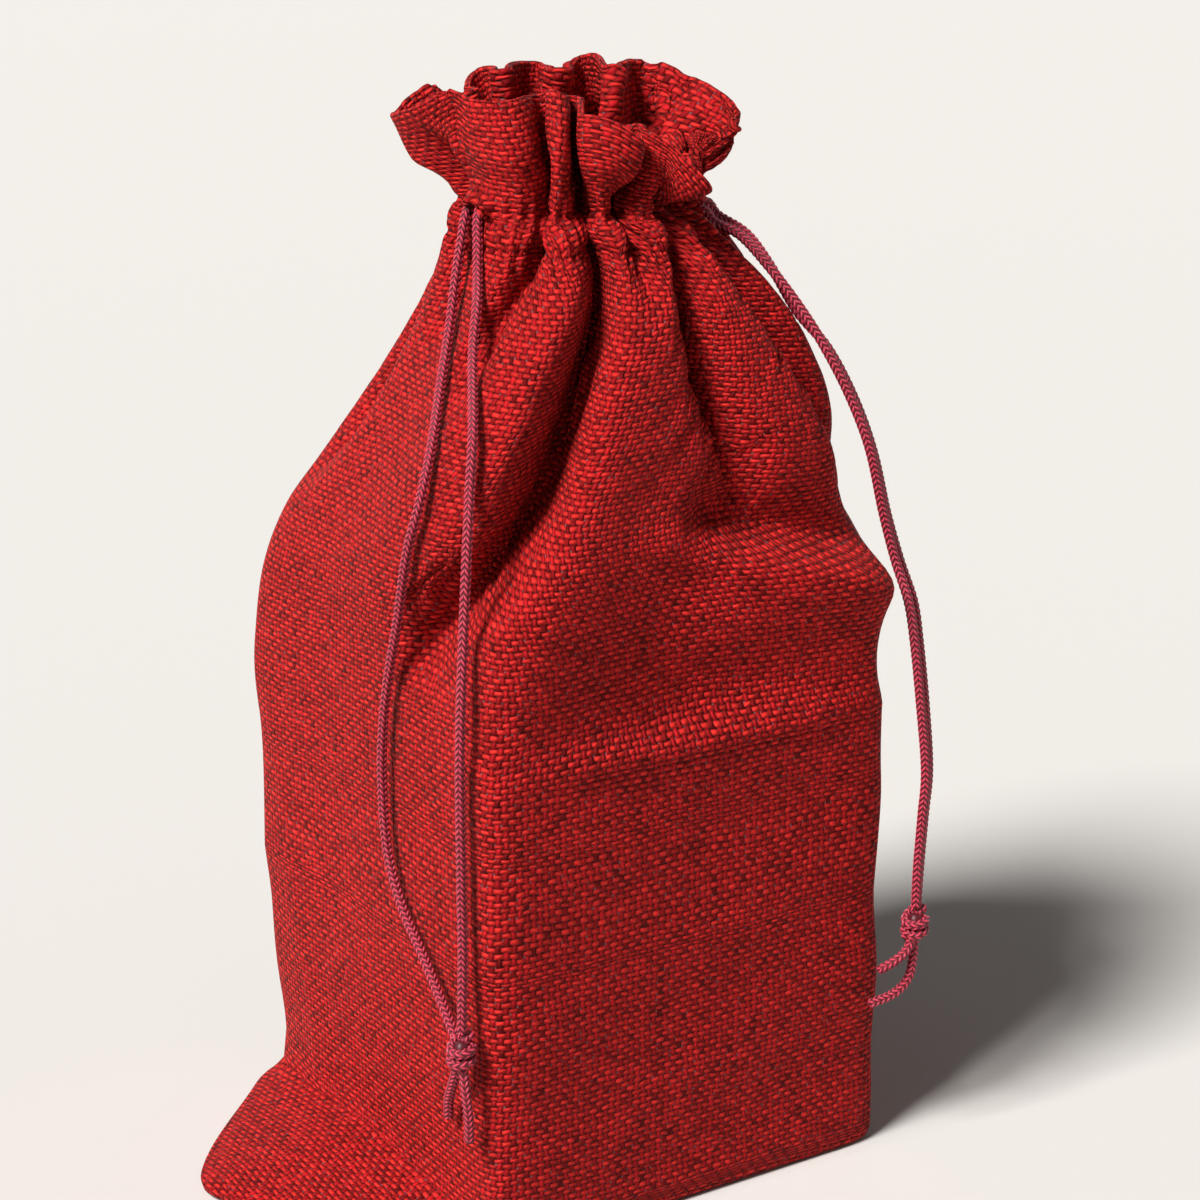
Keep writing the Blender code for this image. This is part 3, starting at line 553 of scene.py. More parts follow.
def start_cloth(columns):
    """The cloth from the body's top edge up to the rim, before it settles."""
    step = GIRTH / columns
    heights = [0.06, 0.08] + list(np.arange(0.09, BODY_HEIGHT - 0.3 * step, step))
    rows = [on_the_girth(lambda angle: body_ring(angle, height), columns) for height in heights]
    lengths = list(heights)
    rises = np.linspace(0.0, 1.0, 41)
    plain = shoulder_rows(rises, columns, 0)
    gap_shade = [np.median(np.linalg.norm(b - a, axis=1)) for a, b in zip(plain, plain[1:])]
    run = np.concatenate([[0.0], np.cumsum(gap_shade)])
    places = np.linspace(0.0, run[-1], round(run[-1] / step) + 1)
    shoulder = shoulder_rows([float(rise) for rise in np.interp(places, run, rises)], columns, COLUMN_PASSES)
    rows += shoulder[:-1]
    lengths += list(BODY_HEIGHT + places[:-1])
    neck_row = len(rows)
    neck, rim = shoulder[-1], rim_ring(columns)
    count = round(FRILL_LENGTH / step)
    for k in range(count + 1):
        rows.append(frill_row(k / count, neck, rim))
        lengths.append(BODY_HEIGHT + run[-1] + FRILL_LENGTH * k / count)
    return Sheet(np.array(rows), np.array(lengths), neck_row)


# Meshes


def wrapped_grid(name, points, girth_places, length_places):
    """A mesh tube: a grid set to rows and columns of points and joined along its side. Its UV map is each
    column's place along the girth, with one more for the joined side, and each point's place along the
    length. The number of each point is kept as an attribute."""
    rows, columns = points.shape[0], points.shape[1]
    bm = bmesh.new()
    place = bm.verts.layers.int.new("place")
    uv_layer = bm.loops.layers.uv.new("UVMap")
    bmesh.ops.create_grid(bm, x_segments=columns, y_segments=rows - 1, size=0.5)
    bm.verts.ensure_lookup_table()
    for vert in bm.verts:
        column = round((vert.co.x + 0.5) * columns)
        row = round((vert.co.y + 0.5) * (rows - 1))
        vert[place] = row * (columns + 1) + column
    for face in bm.faces:
        for loop in face.loops:
            row, column = divmod(loop.vert[place], columns + 1)
            loop[uv_layer].uv = (girth_places[column], length_places[row, column % columns])
    for vert in bm.verts:
        row, column = divmod(vert[place], columns + 1)
        vert.co = points[row, column % columns]
        vert[place] = row * columns + column % columns
    bmesh.ops.remove_doubles(bm, verts=bm.verts, dist=1e-7)
    bmesh.ops.recalc_face_normals(bm, faces=bm.faces)
    mesh = mesh_from(bm, name)
    mesh.shade_smooth()
    return mesh


def mesh_from(bm, name):
    """A mesh of what has been modelled."""
    mesh = bpy.data.meshes.new(name)
    bm.to_mesh(mesh)
    bm.free()
    return mesh


def add_object(name, data):
    """A new object in the scene."""
    obj = bpy.data.objects.new(name, data)
    bpy.context.scene.collection.objects.link(obj)
    return obj


def add_piece(name, mesh, material):
    """A piece of the pouch or the stage, in its material."""
    mesh.materials.append(material)
    return add_object(name, mesh)


def frames_along(route):
    """Two directions across a route at each of its points, carried along without twist."""
    tangents = np.gradient(route, axis=0)
    tangents /= np.linalg.norm(tangents, axis=1, keepdims=True)
    side = np.cross(tangents[0], (0.0, 0.0, 1.0))
    if np.linalg.norm(side) < 0.1:
        side = np.cross(tangents[0], (1.0, 0.0, 0.0))
    sides = []
    for tangent in tangents:
        side = side - tangent * np.dot(side, tangent)
        side /= np.linalg.norm(side)
        sides.append(side)
    sides = np.array(sides)
    return sides, np.cross(tangents, sides)


def plait_relief(around_share, along, pitch, ribs):
    """A plaited cord's strand tops, from 0 between strands to 1 on them: ribs of slanting strands, which
    meet in chevrons."""
    rib = around_share * ribs
    slant = np.abs((rib % 2.0) - 1.0)
    strand = 0.5 + 0.5 * np.sin(2 * math.pi * (along / pitch + PLAIT_SLANT * slant))
    return strand * np.abs(np.sin(math.pi * rib)) ** RIB_FLATNESS


def plaited_tube(name, route, settings, ends=(True, True)):
    """A plaited cord's mesh along a route. Its two ends are closed round where ends says so."""
    length = run_along(route)[-1]
    places = np.linspace(0.0, length, max(8, round(length / CORD_STEP)))
    middle = at_lengths(route, places)
    side, other = frames_along(middle)
    turn = np.arange(CORD_SIDES) / CORD_SIDES
    radius = np.full((len(places), CORD_SIDES), CORD_DIAMETER / 2)
    relief = plait_relief(turn[None, :], places[:, None], settings.plait_pitch, settings.ribs)
    radius += settings.plait_relief * (relief - RELIEF_INSIDE)
    for closed, distance in ((ends[0], places), (ends[1], length - places)):
        if closed:
            cap = np.clip(distance / (0.35 * CORD_DIAMETER), 0.0, 1.0)
            radius *= np.sqrt(np.maximum(1 - (1 - cap) ** 2, 0.0))[:, None]
    angle = 2 * math.pi * turn
    points = middle[:, None, :] + radius[:, :, None] * (
        side[:, None, :] * np.cos(angle)[None, :, None] + other[:, None, :] * np.sin(angle)[None, :, None]
    )
    length_places = np.repeat(places[:, None], CORD_SIDES, axis=1)
    return wrapped_grid(name, points, np.linspace(0.0, 1.0, CORD_SIDES + 1), length_places)


def smooth_between(values, places, closed):
    """Values at fractional places of a row, on a smooth curve through all of its values."""
    count = len(values)
    start = np.floor(places).astype(int)
    t = (places - start).reshape((-1,) + (1,) * (values.ndim - 1))
    numbers = [start + step for step in (-1, 0, 1, 2)]
    if closed:
        a, b, c, d = (values[number % count] for number in numbers)
    else:
        a, b, c, d = (values[np.clip(number, 0, count - 1)] for number in numbers)
    return curve_point(a, b, c, d, t)


def finer_cloth(settled, sheet, columns):
    """The settled cloth with its final columns and rows, close together in the casing."""
    neck, rim = sheet.lengths[sheet.neck_row], sheet.lengths[-1]
    low, high = neck - CASING_DEPTH - 3 * MM, neck + 3 * MM
    edge = BODY_HEIGHT - 6 * MM
    lengths = np.concatenate([
        np.linspace(sheet.lengths[0], edge, 12, endpoint=False),
        np.linspace(edge, low, round((low - BODY_HEIGHT + 6 * MM) / SHOULDER_ROW), endpoint=False),
        np.linspace(low, neck, round((neck - low) / CASING_ROW), endpoint=False),
        np.linspace(neck, high, 4, endpoint=False),
        np.linspace(high, rim, round((rim - high) / FRILL_ROW) + 1),
    ])
    rows = smooth_between(settled, np.interp(lengths, sheet.lengths, np.arange(len(sheet.lengths))), False)
    places = np.arange(columns) * settled.shape[1] / columns
    return smooth_between(rows.swapaxes(0, 1), places, True).swapaxes(0, 1), lengths


def drawn_casing(points, lengths, neck_length):
    """The cloth with its casing's roll, the grooves of the two rows of stitches, fine puckers that run out
    above and below, and a small hood over each place where a drawstring comes out."""
    girth = np.arange(points.shape[1]) / points.shape[1] * 2 * math.pi
    along = (lengths - neck_length + CASING_DEPTH) / CASING_DEPTH
    roll = CASING_ROLL * np.sin(math.pi * np.clip(along, 0.0, 1.0)) ** 0.7
    groove = STITCH_GROOVE * (bell(along / STITCH_HALF_WIDTH) + bell((along - 1) / STITCH_HALF_WIDTH))
    puckered = smooth_step(-0.9, -0.1, along) * (1 - smooth_step(1.1, 1.8, along))
    wave = np.sin(PUCKERS * girth + 1.6 * np.sin(11 * girth) + 1.1 * np.sin(23 * girth + 2.0))
    fuller = 0.65 + 0.35 * np.cos(girth - 0.5)
    outward = (roll - groove)[:, None] * fuller[None, :] + PUCKER_HEIGHT * puckered[:, None] * wave[None, :]
    above = bell((lengths - neck_length - 0.8 * MM) / HOOD_HALF_HEIGHT)
    for place in EXIT_PLACES:
        beside = turn_between(np.degrees(girth), 360.0 * place / GIRTH) / 360.0 * GIRTH
        outward += EXIT_HOOD * above[:, None] * bell(beside / HOOD_HALF_WIDTH)[None, :]
    return points + outward_normals(points) * outward[:, :, None]


def outward_normals(points):
    """A grid's normals, pointing away from the bag's inside."""
    around = np.roll(points, -1, 1) - np.roll(points, 1, 1)
    up = np.gradient(points, axis=0)
    normal = np.cross(around, up)
    return normal / np.maximum(np.linalg.norm(normal, axis=2, keepdims=True), 1e-12)


# The settled cloth


def settle(sheet, columns, frames):
    """The sheet's points after a short cloth simulation, with the neck held by its drawstrings."""
    # Blender's smallest collision distance is 1 mm, so the bag settles at ten times its size
    scale = 10.0
    rows = sheet.points.shape[0]
    lengths = np.repeat(sheet.lengths[:, None], columns, axis=1)
    girth_places = np.arange(columns + 1) * GIRTH / columns
    mesh = wrapped_grid("settling_cloth", sheet.points * scale, girth_places, lengths)
    place = np.empty(len(mesh.vertices), np.int32)
    mesh.attributes["place"].data.foreach_get("value", place)
    cloth = add_object("settling_cloth", mesh)

    # The flat bag as a plain tube, whose edge lengths the cloth keeps
    turn = 2 * math.pi * np.arange(columns) / columns
    radius = GIRTH / (2 * math.pi)
    tube = np.stack([
        np.broadcast_to(radius * np.cos(turn), (rows, columns)),
        np.broadcast_to(radius * np.sin(turn), (rows, columns)),
        np.broadcast_to(sheet.lengths[:, None], (rows, columns)),
    ], axis=2).reshape(-1, 3)
    cloth.shape_key_add(name="Basis")
    rest = cloth.shape_key_add(name="flat_bag")
    rest.data.foreach_set("co", (tube[place] * scale).astype(np.float32).ravel())
    rest.value = 0.0

    # How firmly each row is held, by its length place: on the filling, along the shoulder, in the casing
    # and up the frill
    neck_length = sheet.lengths[sheet.neck_row]
    firmness = [(BODY_HEIGHT, 1.0), (BODY_HEIGHT + 6 * MM, 0.7), (BODY_HEIGHT + 16 * MM, 0.5),
                (neck_length - 24 * MM, 0.5), (neck_length - 15 * MM, 0.9), (neck_length - 9 * MM, 1.0),
                (neck_length + 2 * MM, 1.0), (neck_length + 8 * MM, 0.5)]
    held = cloth.vertex_groups.new(name="held")
    row_of = place // columns
    for row in range(rows):
        weight = float(through(firmness, sheet.lengths[row]))
        held.add([int(i) for i in np.nonzero(row_of == row)[0]], weight, "REPLACE")

    # The filling, which the cloth rests on while it settles
    half = BODY_WIDTH / 2 - 1.5 * MM
    top = BODY_HEIGHT - 0.5 * MM
    block = bmesh.new()
    bmesh.ops.create_cube(block, size=1.0)
    bmesh.ops.scale(block, vec=Vector((2 * half, 2 * half, top)) * scale, verts=block.verts)
    bmesh.ops.translate(block, vec=(0.0, 0.0, 0.5 * top * scale), verts=block.verts)
    bmesh.ops.bevel(
        block, geom=list(block.edges), offset=6 * MM * scale,
        segments=4, profile=0.5, affect="EDGES", material=-1,
    )
    filling = add_object("filling_block", mesh_from(block, "filling_block"))
    filling.modifiers.new("filling", "COLLISION")
    filling.collision.thickness_outer = 0.01

    modifier = cloth.modifiers.new("cloth", "CLOTH")
    settings, contact = modifier.settings, modifier.collision_settings
    settings.quality = 6
    settings.mass = 0.15 * (240 / columns) ** 2
    settings.air_damping = 5
    settings.tension_stiffness = settings.compression_stiffness = 40
    settings.shear_stiffness = 10
    settings.bending_stiffness = 14
    settings.tension_damping = settings.compression_damping = 15
    settings.shear_damping = 10
    settings.bending_damping = 2
    settings.vertex_group_mass = "held"
    settings.pin_stiffness = 1.0
    settings.rest_shape_key = rest
    contact.distance_min = 0.006
    contact.collision_quality = 2
    contact.use_self_collision = True
    contact.self_distance_min = 0.008
    contact.self_friction = 6
    modifier.point_cache.frame_start = 1
    modifier.point_cache.frame_end = frames
    scene = bpy.context.scene
    for frame_number in range(1, frames + 1):
        scene.frame_set(frame_number)
    settled = cloth.evaluated_get(bpy.context.evaluated_depsgraph_get()).to_mesh()
    found = np.empty(len(settled.vertices) * 3, np.float32)
    settled.vertices.foreach_get("co", found)
    points = np.empty((rows * columns, 3))
    points[place] = found.reshape(-1, 3) / scale
    scene.frame_set(1)
    for obj in (cloth, filling):
        data = obj.data
        bpy.data.objects.remove(obj)
        bpy.data.meshes.remove(data)
    return points.reshape(rows, columns, 3)


def clear_of_cords(points, routes, gap):
    """The cloth pressed in where a drawstring lies on it."""
    moved = points.reshape(-1, 3).copy()
    normals = outward_normals(points).reshape(-1, 3)
    for route in routes:
        dense = at_lengths(route, np.arange(0.0, run_along(route)[-1], 0.8 * MM))
        low, high = dense.min(0) - PRESS_REACH, dense.max(0) + PRESS_REACH
        near = np.nonzero(((moved > low) & (moved < high)).all(axis=1))[0]
        for chunk in np.array_split(near, max(1, len(near) // 2000)):
            offset = moved[chunk][:, None, :] - dense[None, :, :]
            distance = np.linalg.norm(offset, axis=2)
            nearest = distance.argmin(axis=1)
            picked = offset[np.arange(len(chunk)), nearest]
            short = gap - distance[np.arange(len(chunk)), nearest]
            outside = (picked * normals[chunk]).sum(axis=1)
            pressed = np.maximum(short, 0.0) + np.maximum(outside, 0.0)
            depth = np.where(distance.min(axis=1) < 2.5 * gap, pressed, 0.0)
            moved[chunk] -= normals[chunk] * np.clip(depth, 0.0, PRESS_LIMIT)[:, None]
    return moved.reshape(points.shape)


def whole_skin(upper, lengths, neck_length, hem_wall):
    """Every row of the cloth's skin: from the base's middle out and up, over the rim and down to where the
    gathered cloth meets in the throat, with each row's length place."""
    columns = upper.shape[1]
    edge = on_the_girth(lambda angle: body_ring(angle, 0.0, 1.0, FOOT_ROUND), columns)
    lower = [edge * np.array([scale, scale, 1.0]) for scale in (0.0, 0.25, 0.5, 0.75, 0.9, 0.97)]
    rings = [partial(body_ring, height=height * FOOT_ROUND, ear_share=1.0, inset=inset * FOOT_ROUND)
             for height, inset in ((0.0, 1.0), (0.12, 0.5), (0.4, 0.15), (1.0, 0.0))]
    rings += [partial(ear_ring, share=share) for share in (0.85, 0.7, 0.55, 0.4, 0.28, 0.18, 0.1, 0.04, 0.0)]
    rings += [partial(body_ring, height=height) for height in np.arange(0.014, lengths[0] - 0.001, 0.0042)]
    lower = np.array(lower + [on_the_girth(ring_at, columns) for ring_at in rings])
    steps = np.linalg.norm(np.diff(np.concatenate([lower, upper[:1]]), axis=0), axis=2)
    lower_lengths = lengths[0] - np.cumsum(steps[::-1], axis=0)[::-1]
    lengths = np.repeat(lengths[:, None], columns, axis=1)
    outer = np.concatenate([lower, upper])
    all_lengths = np.concatenate([lower_lengths, lengths])
    neck = len(lower) + int(np.searchsorted(lengths[:, 0], neck_length - 1e-6))

    # The turned hem: over the rim and back down the inside
    normals = outward_normals(outer)
    hem_rows = np.arange(outer.shape[0] - 1, neck + 3, -1)
    up = outer[-1] - outer[-3]
    up /= np.linalg.norm(up, axis=1, keepdims=True)
    rim = []
    for turn in (0.6, 1.2, 1.8, 2.5):
        inward = normals[-1] * hem_wall * (0.5 - 0.5 * math.cos(turn))
        rim.append(outer[-1] - inward + up * 0.5 * hem_wall * math.sin(turn))
    inner = [outer[k] - normals[k] * hem_wall for k in hem_rows]
    middle = np.append(NECK_MIDDLE, NECK_HEIGHT + 3.0 * MM)
    closing = [middle + (inner[-1] - middle) * share for share in (0.75, 0.5, 0.3)]
    skin = np.concatenate([outer, rim, inner, closing])
    rim_length = all_lengths[-1]
    rim_places = [rim_length + hem_wall * share for share in (0.3, 0.6, 0.9, 1.2)]
    inner_places = [2 * rim_length + 1.5 * hem_wall - all_lengths[k] for k in hem_rows]
    closing_places = [inner_places[-1] + 3 * MM * k for k in (1, 2, 3)]
    return skin, np.concatenate([all_lengths, rim_places, inner_places, closing_places])


def lay_weave_flat(mesh):
    """The weave of the base and of the ear's upper face, laid out flat as they lie on the table."""
    uv_layer = mesh.uv_layers["UVMap"].data
    for polygon in mesh.polygons:
        if polygon.center.z < 14 * MM and abs(polygon.normal.z) > 0.6:
            for loop_index in polygon.loop_indices:
                place = mesh.vertices[mesh.loops[loop_index].vertex_index].co
                uv_layer[loop_index].uv = (place.y, place.x)


# Materials


def new_material(name):
    """A material with its node tree and its shader."""
    material = bpy.data.materials.new(name)
    material.use_nodes = True
    tree = material.node_tree
    return material, tree, tree.nodes["Principled BSDF"]


def add_node(tree, kind, settings=None, **links):
    """A node with its settings and links. Each link is a socket, a node for its first output, or a value.
    Its name is in_0 for the first input, or the input's own name with _ for a space."""
    node = tree.nodes.new(kind)
    for name, value in (settings or {}).items():
        setattr(node, name, value)
    for name, value in links.items():
        socket = node.inputs[int(name[3:])] if name.startswith("in_") else node.inputs[name.replace("_", " ")]
        if isinstance(value, bpy.types.Node):
            value = value.outputs[0]
        if isinstance(value, bpy.types.NodeSocket):
            tree.links.new(value, socket)
        else:
            socket.default_value = value
    return node


def set_inputs(shader, values):
    """Constants set on a shader's inputs by their names."""
    for name, value in values.items():
        shader.inputs[name].default_value = value


OPERATIONS = [{"operation": name} for name in ("MULTIPLY", "MULTIPLY_ADD", "SINE", "ABSOLUTE", "POWER")]


def cloth_material(settings):
    """Linen-look polyester: an open plain weave of thick heathered yarns, matt and grainy, with a little
    sheen from loose fibres. Painted shade darkens each yarn toward its edges and nearly blackens the gaps at
    its crossings."""
    material, tree, shader = new_material("woven_linen_look_polyester")
    node = partial(add_node, tree)
    multiply, multiply_add, sine, absolute, power = OPERATIONS
    flat, colours = {"noise_dimensions": "2D"}, {"data_type": "RGBA"}
    uv = node("ShaderNodeUVMap", {"uv_map": "UVMap"})
    place = node("ShaderNodeSeparateXYZ", Vector=uv)

    # Yarns wander by a third of a yarn over a dozen yarns, and thicken in slubs a few yarns long
    wander = node("ShaderNodeTexNoise", flat, Vector=uv, Scale=0.07 / settings.weft_pitch, Detail=2.0)
    wander = node("ShaderNodeSeparateColor", Color=wander.outputs["Color"])
    slubs = node("ShaderNodeTexNoise", flat, Vector=uv, Scale=0.45 / settings.weft_pitch, Detail=1.0)
    slubs = node("ShaderNodeSeparateColor", Color=slubs.outputs["Color"])
    counts = []
    for axis, pitch in ((0, settings.warp_pitch), (1, settings.weft_pitch)):
        count = node("ShaderNodeMath", multiply, in_0=place.outputs[axis], in_1=1 / pitch)
        count = node("ShaderNodeMath", multiply_add, in_0=wander.outputs[axis], in_1=1.1, in_2=count)
        counts.append(node("ShaderNodeMath", multiply_add, in_0=slubs.outputs[axis], in_1=0.4, in_2=count))
    warp_count, weft_count = counts

    # Each yarn's round body, from 0 in the gaps beside it to 1 along its middle
    waves = []
    for count in counts:
        angle = node("ShaderNodeMath", multiply, in_0=count, in_1=math.pi)
        waves.append(node("ShaderNodeMath", sine, in_0=angle))
    crossing = node("ShaderNodeMath", multiply, in_0=waves[0], in_1=waves[1])
    bodies = []
    for wave, edge in zip(waves, (0.24, 0.2)):
        size = node("ShaderNodeMath", absolute, in_0=wave)
        body = node("ShaderNodeMapRange", in_0=size, in_1=edge, in_2=1.0)
        bodies.append(node("ShaderNodeMath", power, in_0=body, in_1=0.5))

    # Over and under: warp and weft rise in turn
    warp_lift = node("ShaderNodeMath", multiply_add, in_0=crossing, in_1=0.42, in_2=0.60)
    weft_lift = node("ShaderNodeMath", multiply_add, in_0=crossing, in_1=-0.42, in_2=0.57)
    warp_top = node("ShaderNodeMath", multiply, in_0=bodies[0], in_1=warp_lift)
    weft_top = node("ShaderNodeMath", multiply, in_0=bodies[1], in_1=weft_lift)
    height = node("ShaderNodeMath", {"operation": "SMOOTH_MAX"}, in_0=warp_top, in_1=weft_top, in_2=0.05)
    lead = node("ShaderNodeMath", {"operation": "SUBTRACT"}, in_0=warp_top, in_1=weft_top)
    warp_shows = node("ShaderNodeMapRange", in_0=lead, in_1=-0.05, in_2=0.05)

    # Heather: each yarn's brightness along its length, counted in yarns so that it stays on its yarn
    shades = []
    heathers = ((warp_count, weft_count, 0.0, 0.3, 1.5), (weft_count, warp_count, 41.7, 0.55, 1.2))
    for across, along, offset, low, high in heathers:
        number = node("ShaderNodeMath", {"operation": "FLOOR"}, in_0=across)
        number = node("ShaderNodeMath", multiply_add, in_0=number, in_1=7.31, in_2=offset)
        along = node("ShaderNodeMath", multiply, in_0=along, in_1=0.31)
        spot = node("ShaderNodeCombineXYZ", X=number, Y=along)
        heather = node("ShaderNodeTexNoise", flat, Vector=spot, Scale=1.0, Detail=2.0, Roughness=0.55)
        shades.append(node("ShaderNodeMapRange", in_0=heather, in_1=0.28, in_2=0.72, in_3=low, in_4=high))
    shade = node("ShaderNodeMix", {"data_type": "FLOAT"}, in_0=warp_shows, in_2=shades[1], in_3=shades[0])
    fibres = node("ShaderNodeTexNoise", flat, Vector=uv, Scale=5.0 / settings.weft_pitch, Detail=2.0)
    grain = node("ShaderNodeMath", multiply_add, in_0=fibres, in_1=0.7, in_2=0.65)
    shade = node("ShaderNodeMath", multiply, in_0=shade, in_1=grain)
    # Painted shade: each yarn darkens toward its edges and into the hollows between yarns
    painted_crevice_shade = node("ShaderNodeMapRange", in_0=height, in_1=0.25, in_2=0.8, in_3=0.35, in_4=1.0)
    shade = node("ShaderNodeMath", multiply, in_0=shade, in_1=painted_crevice_shade)
    weft_dye, warp_dye = (*settings.weft_colour, 1.0), (*settings.warp_colour, 1.0)
    dye = node("ShaderNodeMix", colours, in_0=warp_shows, in_6=weft_dye, in_7=warp_dye)
    yarns = node("ShaderNodeVectorMath", {"operation": "SCALE"}, in_0=dye.outputs[2], Scale=shade)

    # The gaps at the crossings are painted nearly black as shade, and the pale filling shows through a few of
    # them
    glints = node("ShaderNodeTexNoise", flat, Vector=uv, Scale=0.8 / settings.weft_pitch, Detail=0.0)
    glints = node("ShaderNodeMapRange", in_0=glints, in_1=0.66, in_2=0.76)
    painted_dark, pale = (*settings.gap_shade_colour, 1.0), (*linear("#7E5C62"), 1.0)
    gap_shade = node("ShaderNodeMix", colours, in_0=glints, in_6=painted_dark, in_7=pale)
    outside_gap_shade = node("ShaderNodeMapRange", in_0=height, in_1=0.1, in_2=0.4)
    colour = node("ShaderNodeMix", colours, in_0=outside_gap_shade, in_6=gap_shade.outputs[2], in_7=yarns)
    tree.links.new(colour.outputs[2], shader.inputs["Base Color"])

    relief = node("ShaderNodeMath", multiply_add, in_0=fibres, in_1=0.16, in_2=height)
    bump = node("ShaderNodeBump", Strength=1.0, Distance=settings.yarn_relief, Height=relief)
    tree.links.new(bump.outputs[0], shader.inputs["Normal"])
    set_inputs(shader, {
        "Roughness": 0.6,
        "IOR": 1.5,
        "Specular IOR Level": 0.06,
        "Sheen Weight": 0.03,
        "Sheen Roughness": 0.5,
        "Sheen Tint": (*linear("#E8A08C"), 1.0),
    })
    return material


def cord_material(settings):
    """Viscose cord plaited from fine filaments, raspberry red: painted shade darkens it to burgundy between
    its strands, and a painted highlight lightens their tops, which meet in chevrons."""
    material, tree, shader = new_material("plaited_viscose_cord")
    node = partial(add_node, tree)
    multiply, multiply_add, sine, absolute, power = OPERATIONS
    uv = node("ShaderNodeUVMap", {"uv_map": "UVMap"})
    place = node("ShaderNodeSeparateXYZ", Vector=uv)
    rib = node("ShaderNodeMath", multiply, in_0=place.outputs[0], in_1=float(settings.ribs))
    slant = node("ShaderNodeMath", {"operation": "PINGPONG"}, in_0=rib, in_1=1.0)
    slant = node("ShaderNodeMath", {"operation": "SUBTRACT"}, in_0=1.0, in_1=slant)
    run = node("ShaderNodeMath", multiply, in_0=place.outputs[1], in_1=1 / settings.plait_pitch)
    turns = node("ShaderNodeMath", multiply_add, in_0=slant, in_1=PLAIT_SLANT, in_2=run)
    angle = node("ShaderNodeMath", multiply, in_0=turns, in_1=2 * math.pi)
    wave = node("ShaderNodeMath", sine, in_0=angle)
    strand = node("ShaderNodeMath", multiply_add, in_0=wave, in_1=0.5, in_2=0.5)
    angle = node("ShaderNodeMath", multiply, in_0=rib, in_1=math.pi)
    edge = node("ShaderNodeMath", sine, in_0=angle)
    edge = node("ShaderNodeMath", absolute, in_0=edge)
    edge = node("ShaderNodeMath", power, in_0=edge, in_1=RIB_FLATNESS)
    height = node("ShaderNodeMath", multiply, in_0=strand, in_1=edge)
    filaments = node("ShaderNodeTexNoise", {"noise_dimensions": "2D"}, Vector=uv, Scale=900.0, Detail=2.0)
    # Painted highlight and shade: the strands' tops lighter, the grooves between them darker
    painted_strand_light = node("ShaderNodeMath", multiply_add, in_0=filaments, in_1=0.6, in_2=height)
    painted_strand_light = node("ShaderNodeMapRange", in_0=painted_strand_light, in_1=0.35, in_2=1.2)
    painted_dark, bright_and_highlight = (*settings.cord_shade, 1.0), (*settings.cord_colour_and_highlight, 1.0)
    dye = node("ShaderNodeMix", {"data_type": "RGBA"}, in_0=painted_strand_light, in_6=painted_dark, in_7=bright_and_highlight)
    tree.links.new(dye.outputs[2], shader.inputs["Base Color"])
    bump = node("ShaderNodeBump", Strength=1.0, Distance=0.22 * MM, Height=height)
    tree.links.new(bump.outputs[0], shader.inputs["Normal"])
    set_inputs(shader, {"Roughness": 0.42, "IOR": 1.5, "Specular IOR Level": 0.25, "Sheen Weight": 0.03})
    return material


def plain_material(name, colour, roughness):
    """A matt material of one colour."""
    material, _, shader = new_material(name)
    set_inputs(shader, {"Base Color": (*linear(colour), 1.0), "Roughness": roughness})
    return material


# Cords


def knot_end(strand, knot):
    """The strand's last point, just clear of the knot on the way to its middle."""
    away = (strand[-1] - knot) / np.linalg.norm(strand[-1] - knot)
    half = np.array([KNOT_WIDTH / 2, KNOT_WIDTH / 2, KNOT_LENGTH / 2])
    return knot + away * (1 / math.sqrt(((away / half) ** 2).sum()) + KNOT_GAP)


def strand_route(string, strand):
    """A hanging strand's centreline, from inside the casing down to its knot."""
    knot = np.array(string.knot) * MM
    hanging = np.array(strand) * MM
    inward = np.append(NECK_MIDDLE, 0.0) - hanging[0]
    inward[2] = 0.0
    inward /= np.linalg.norm(inward)
    way_in = np.array([inward * 7.0 + (0.0, 0.0, 4.2), inward * 2.4 + (0.0, 0.0, 2.8)])
    inside = hanging[0] + way_in * MM
    route = np.concatenate([inside, hanging, [knot_end(hanging, knot)]])
    return smooth_route(route)


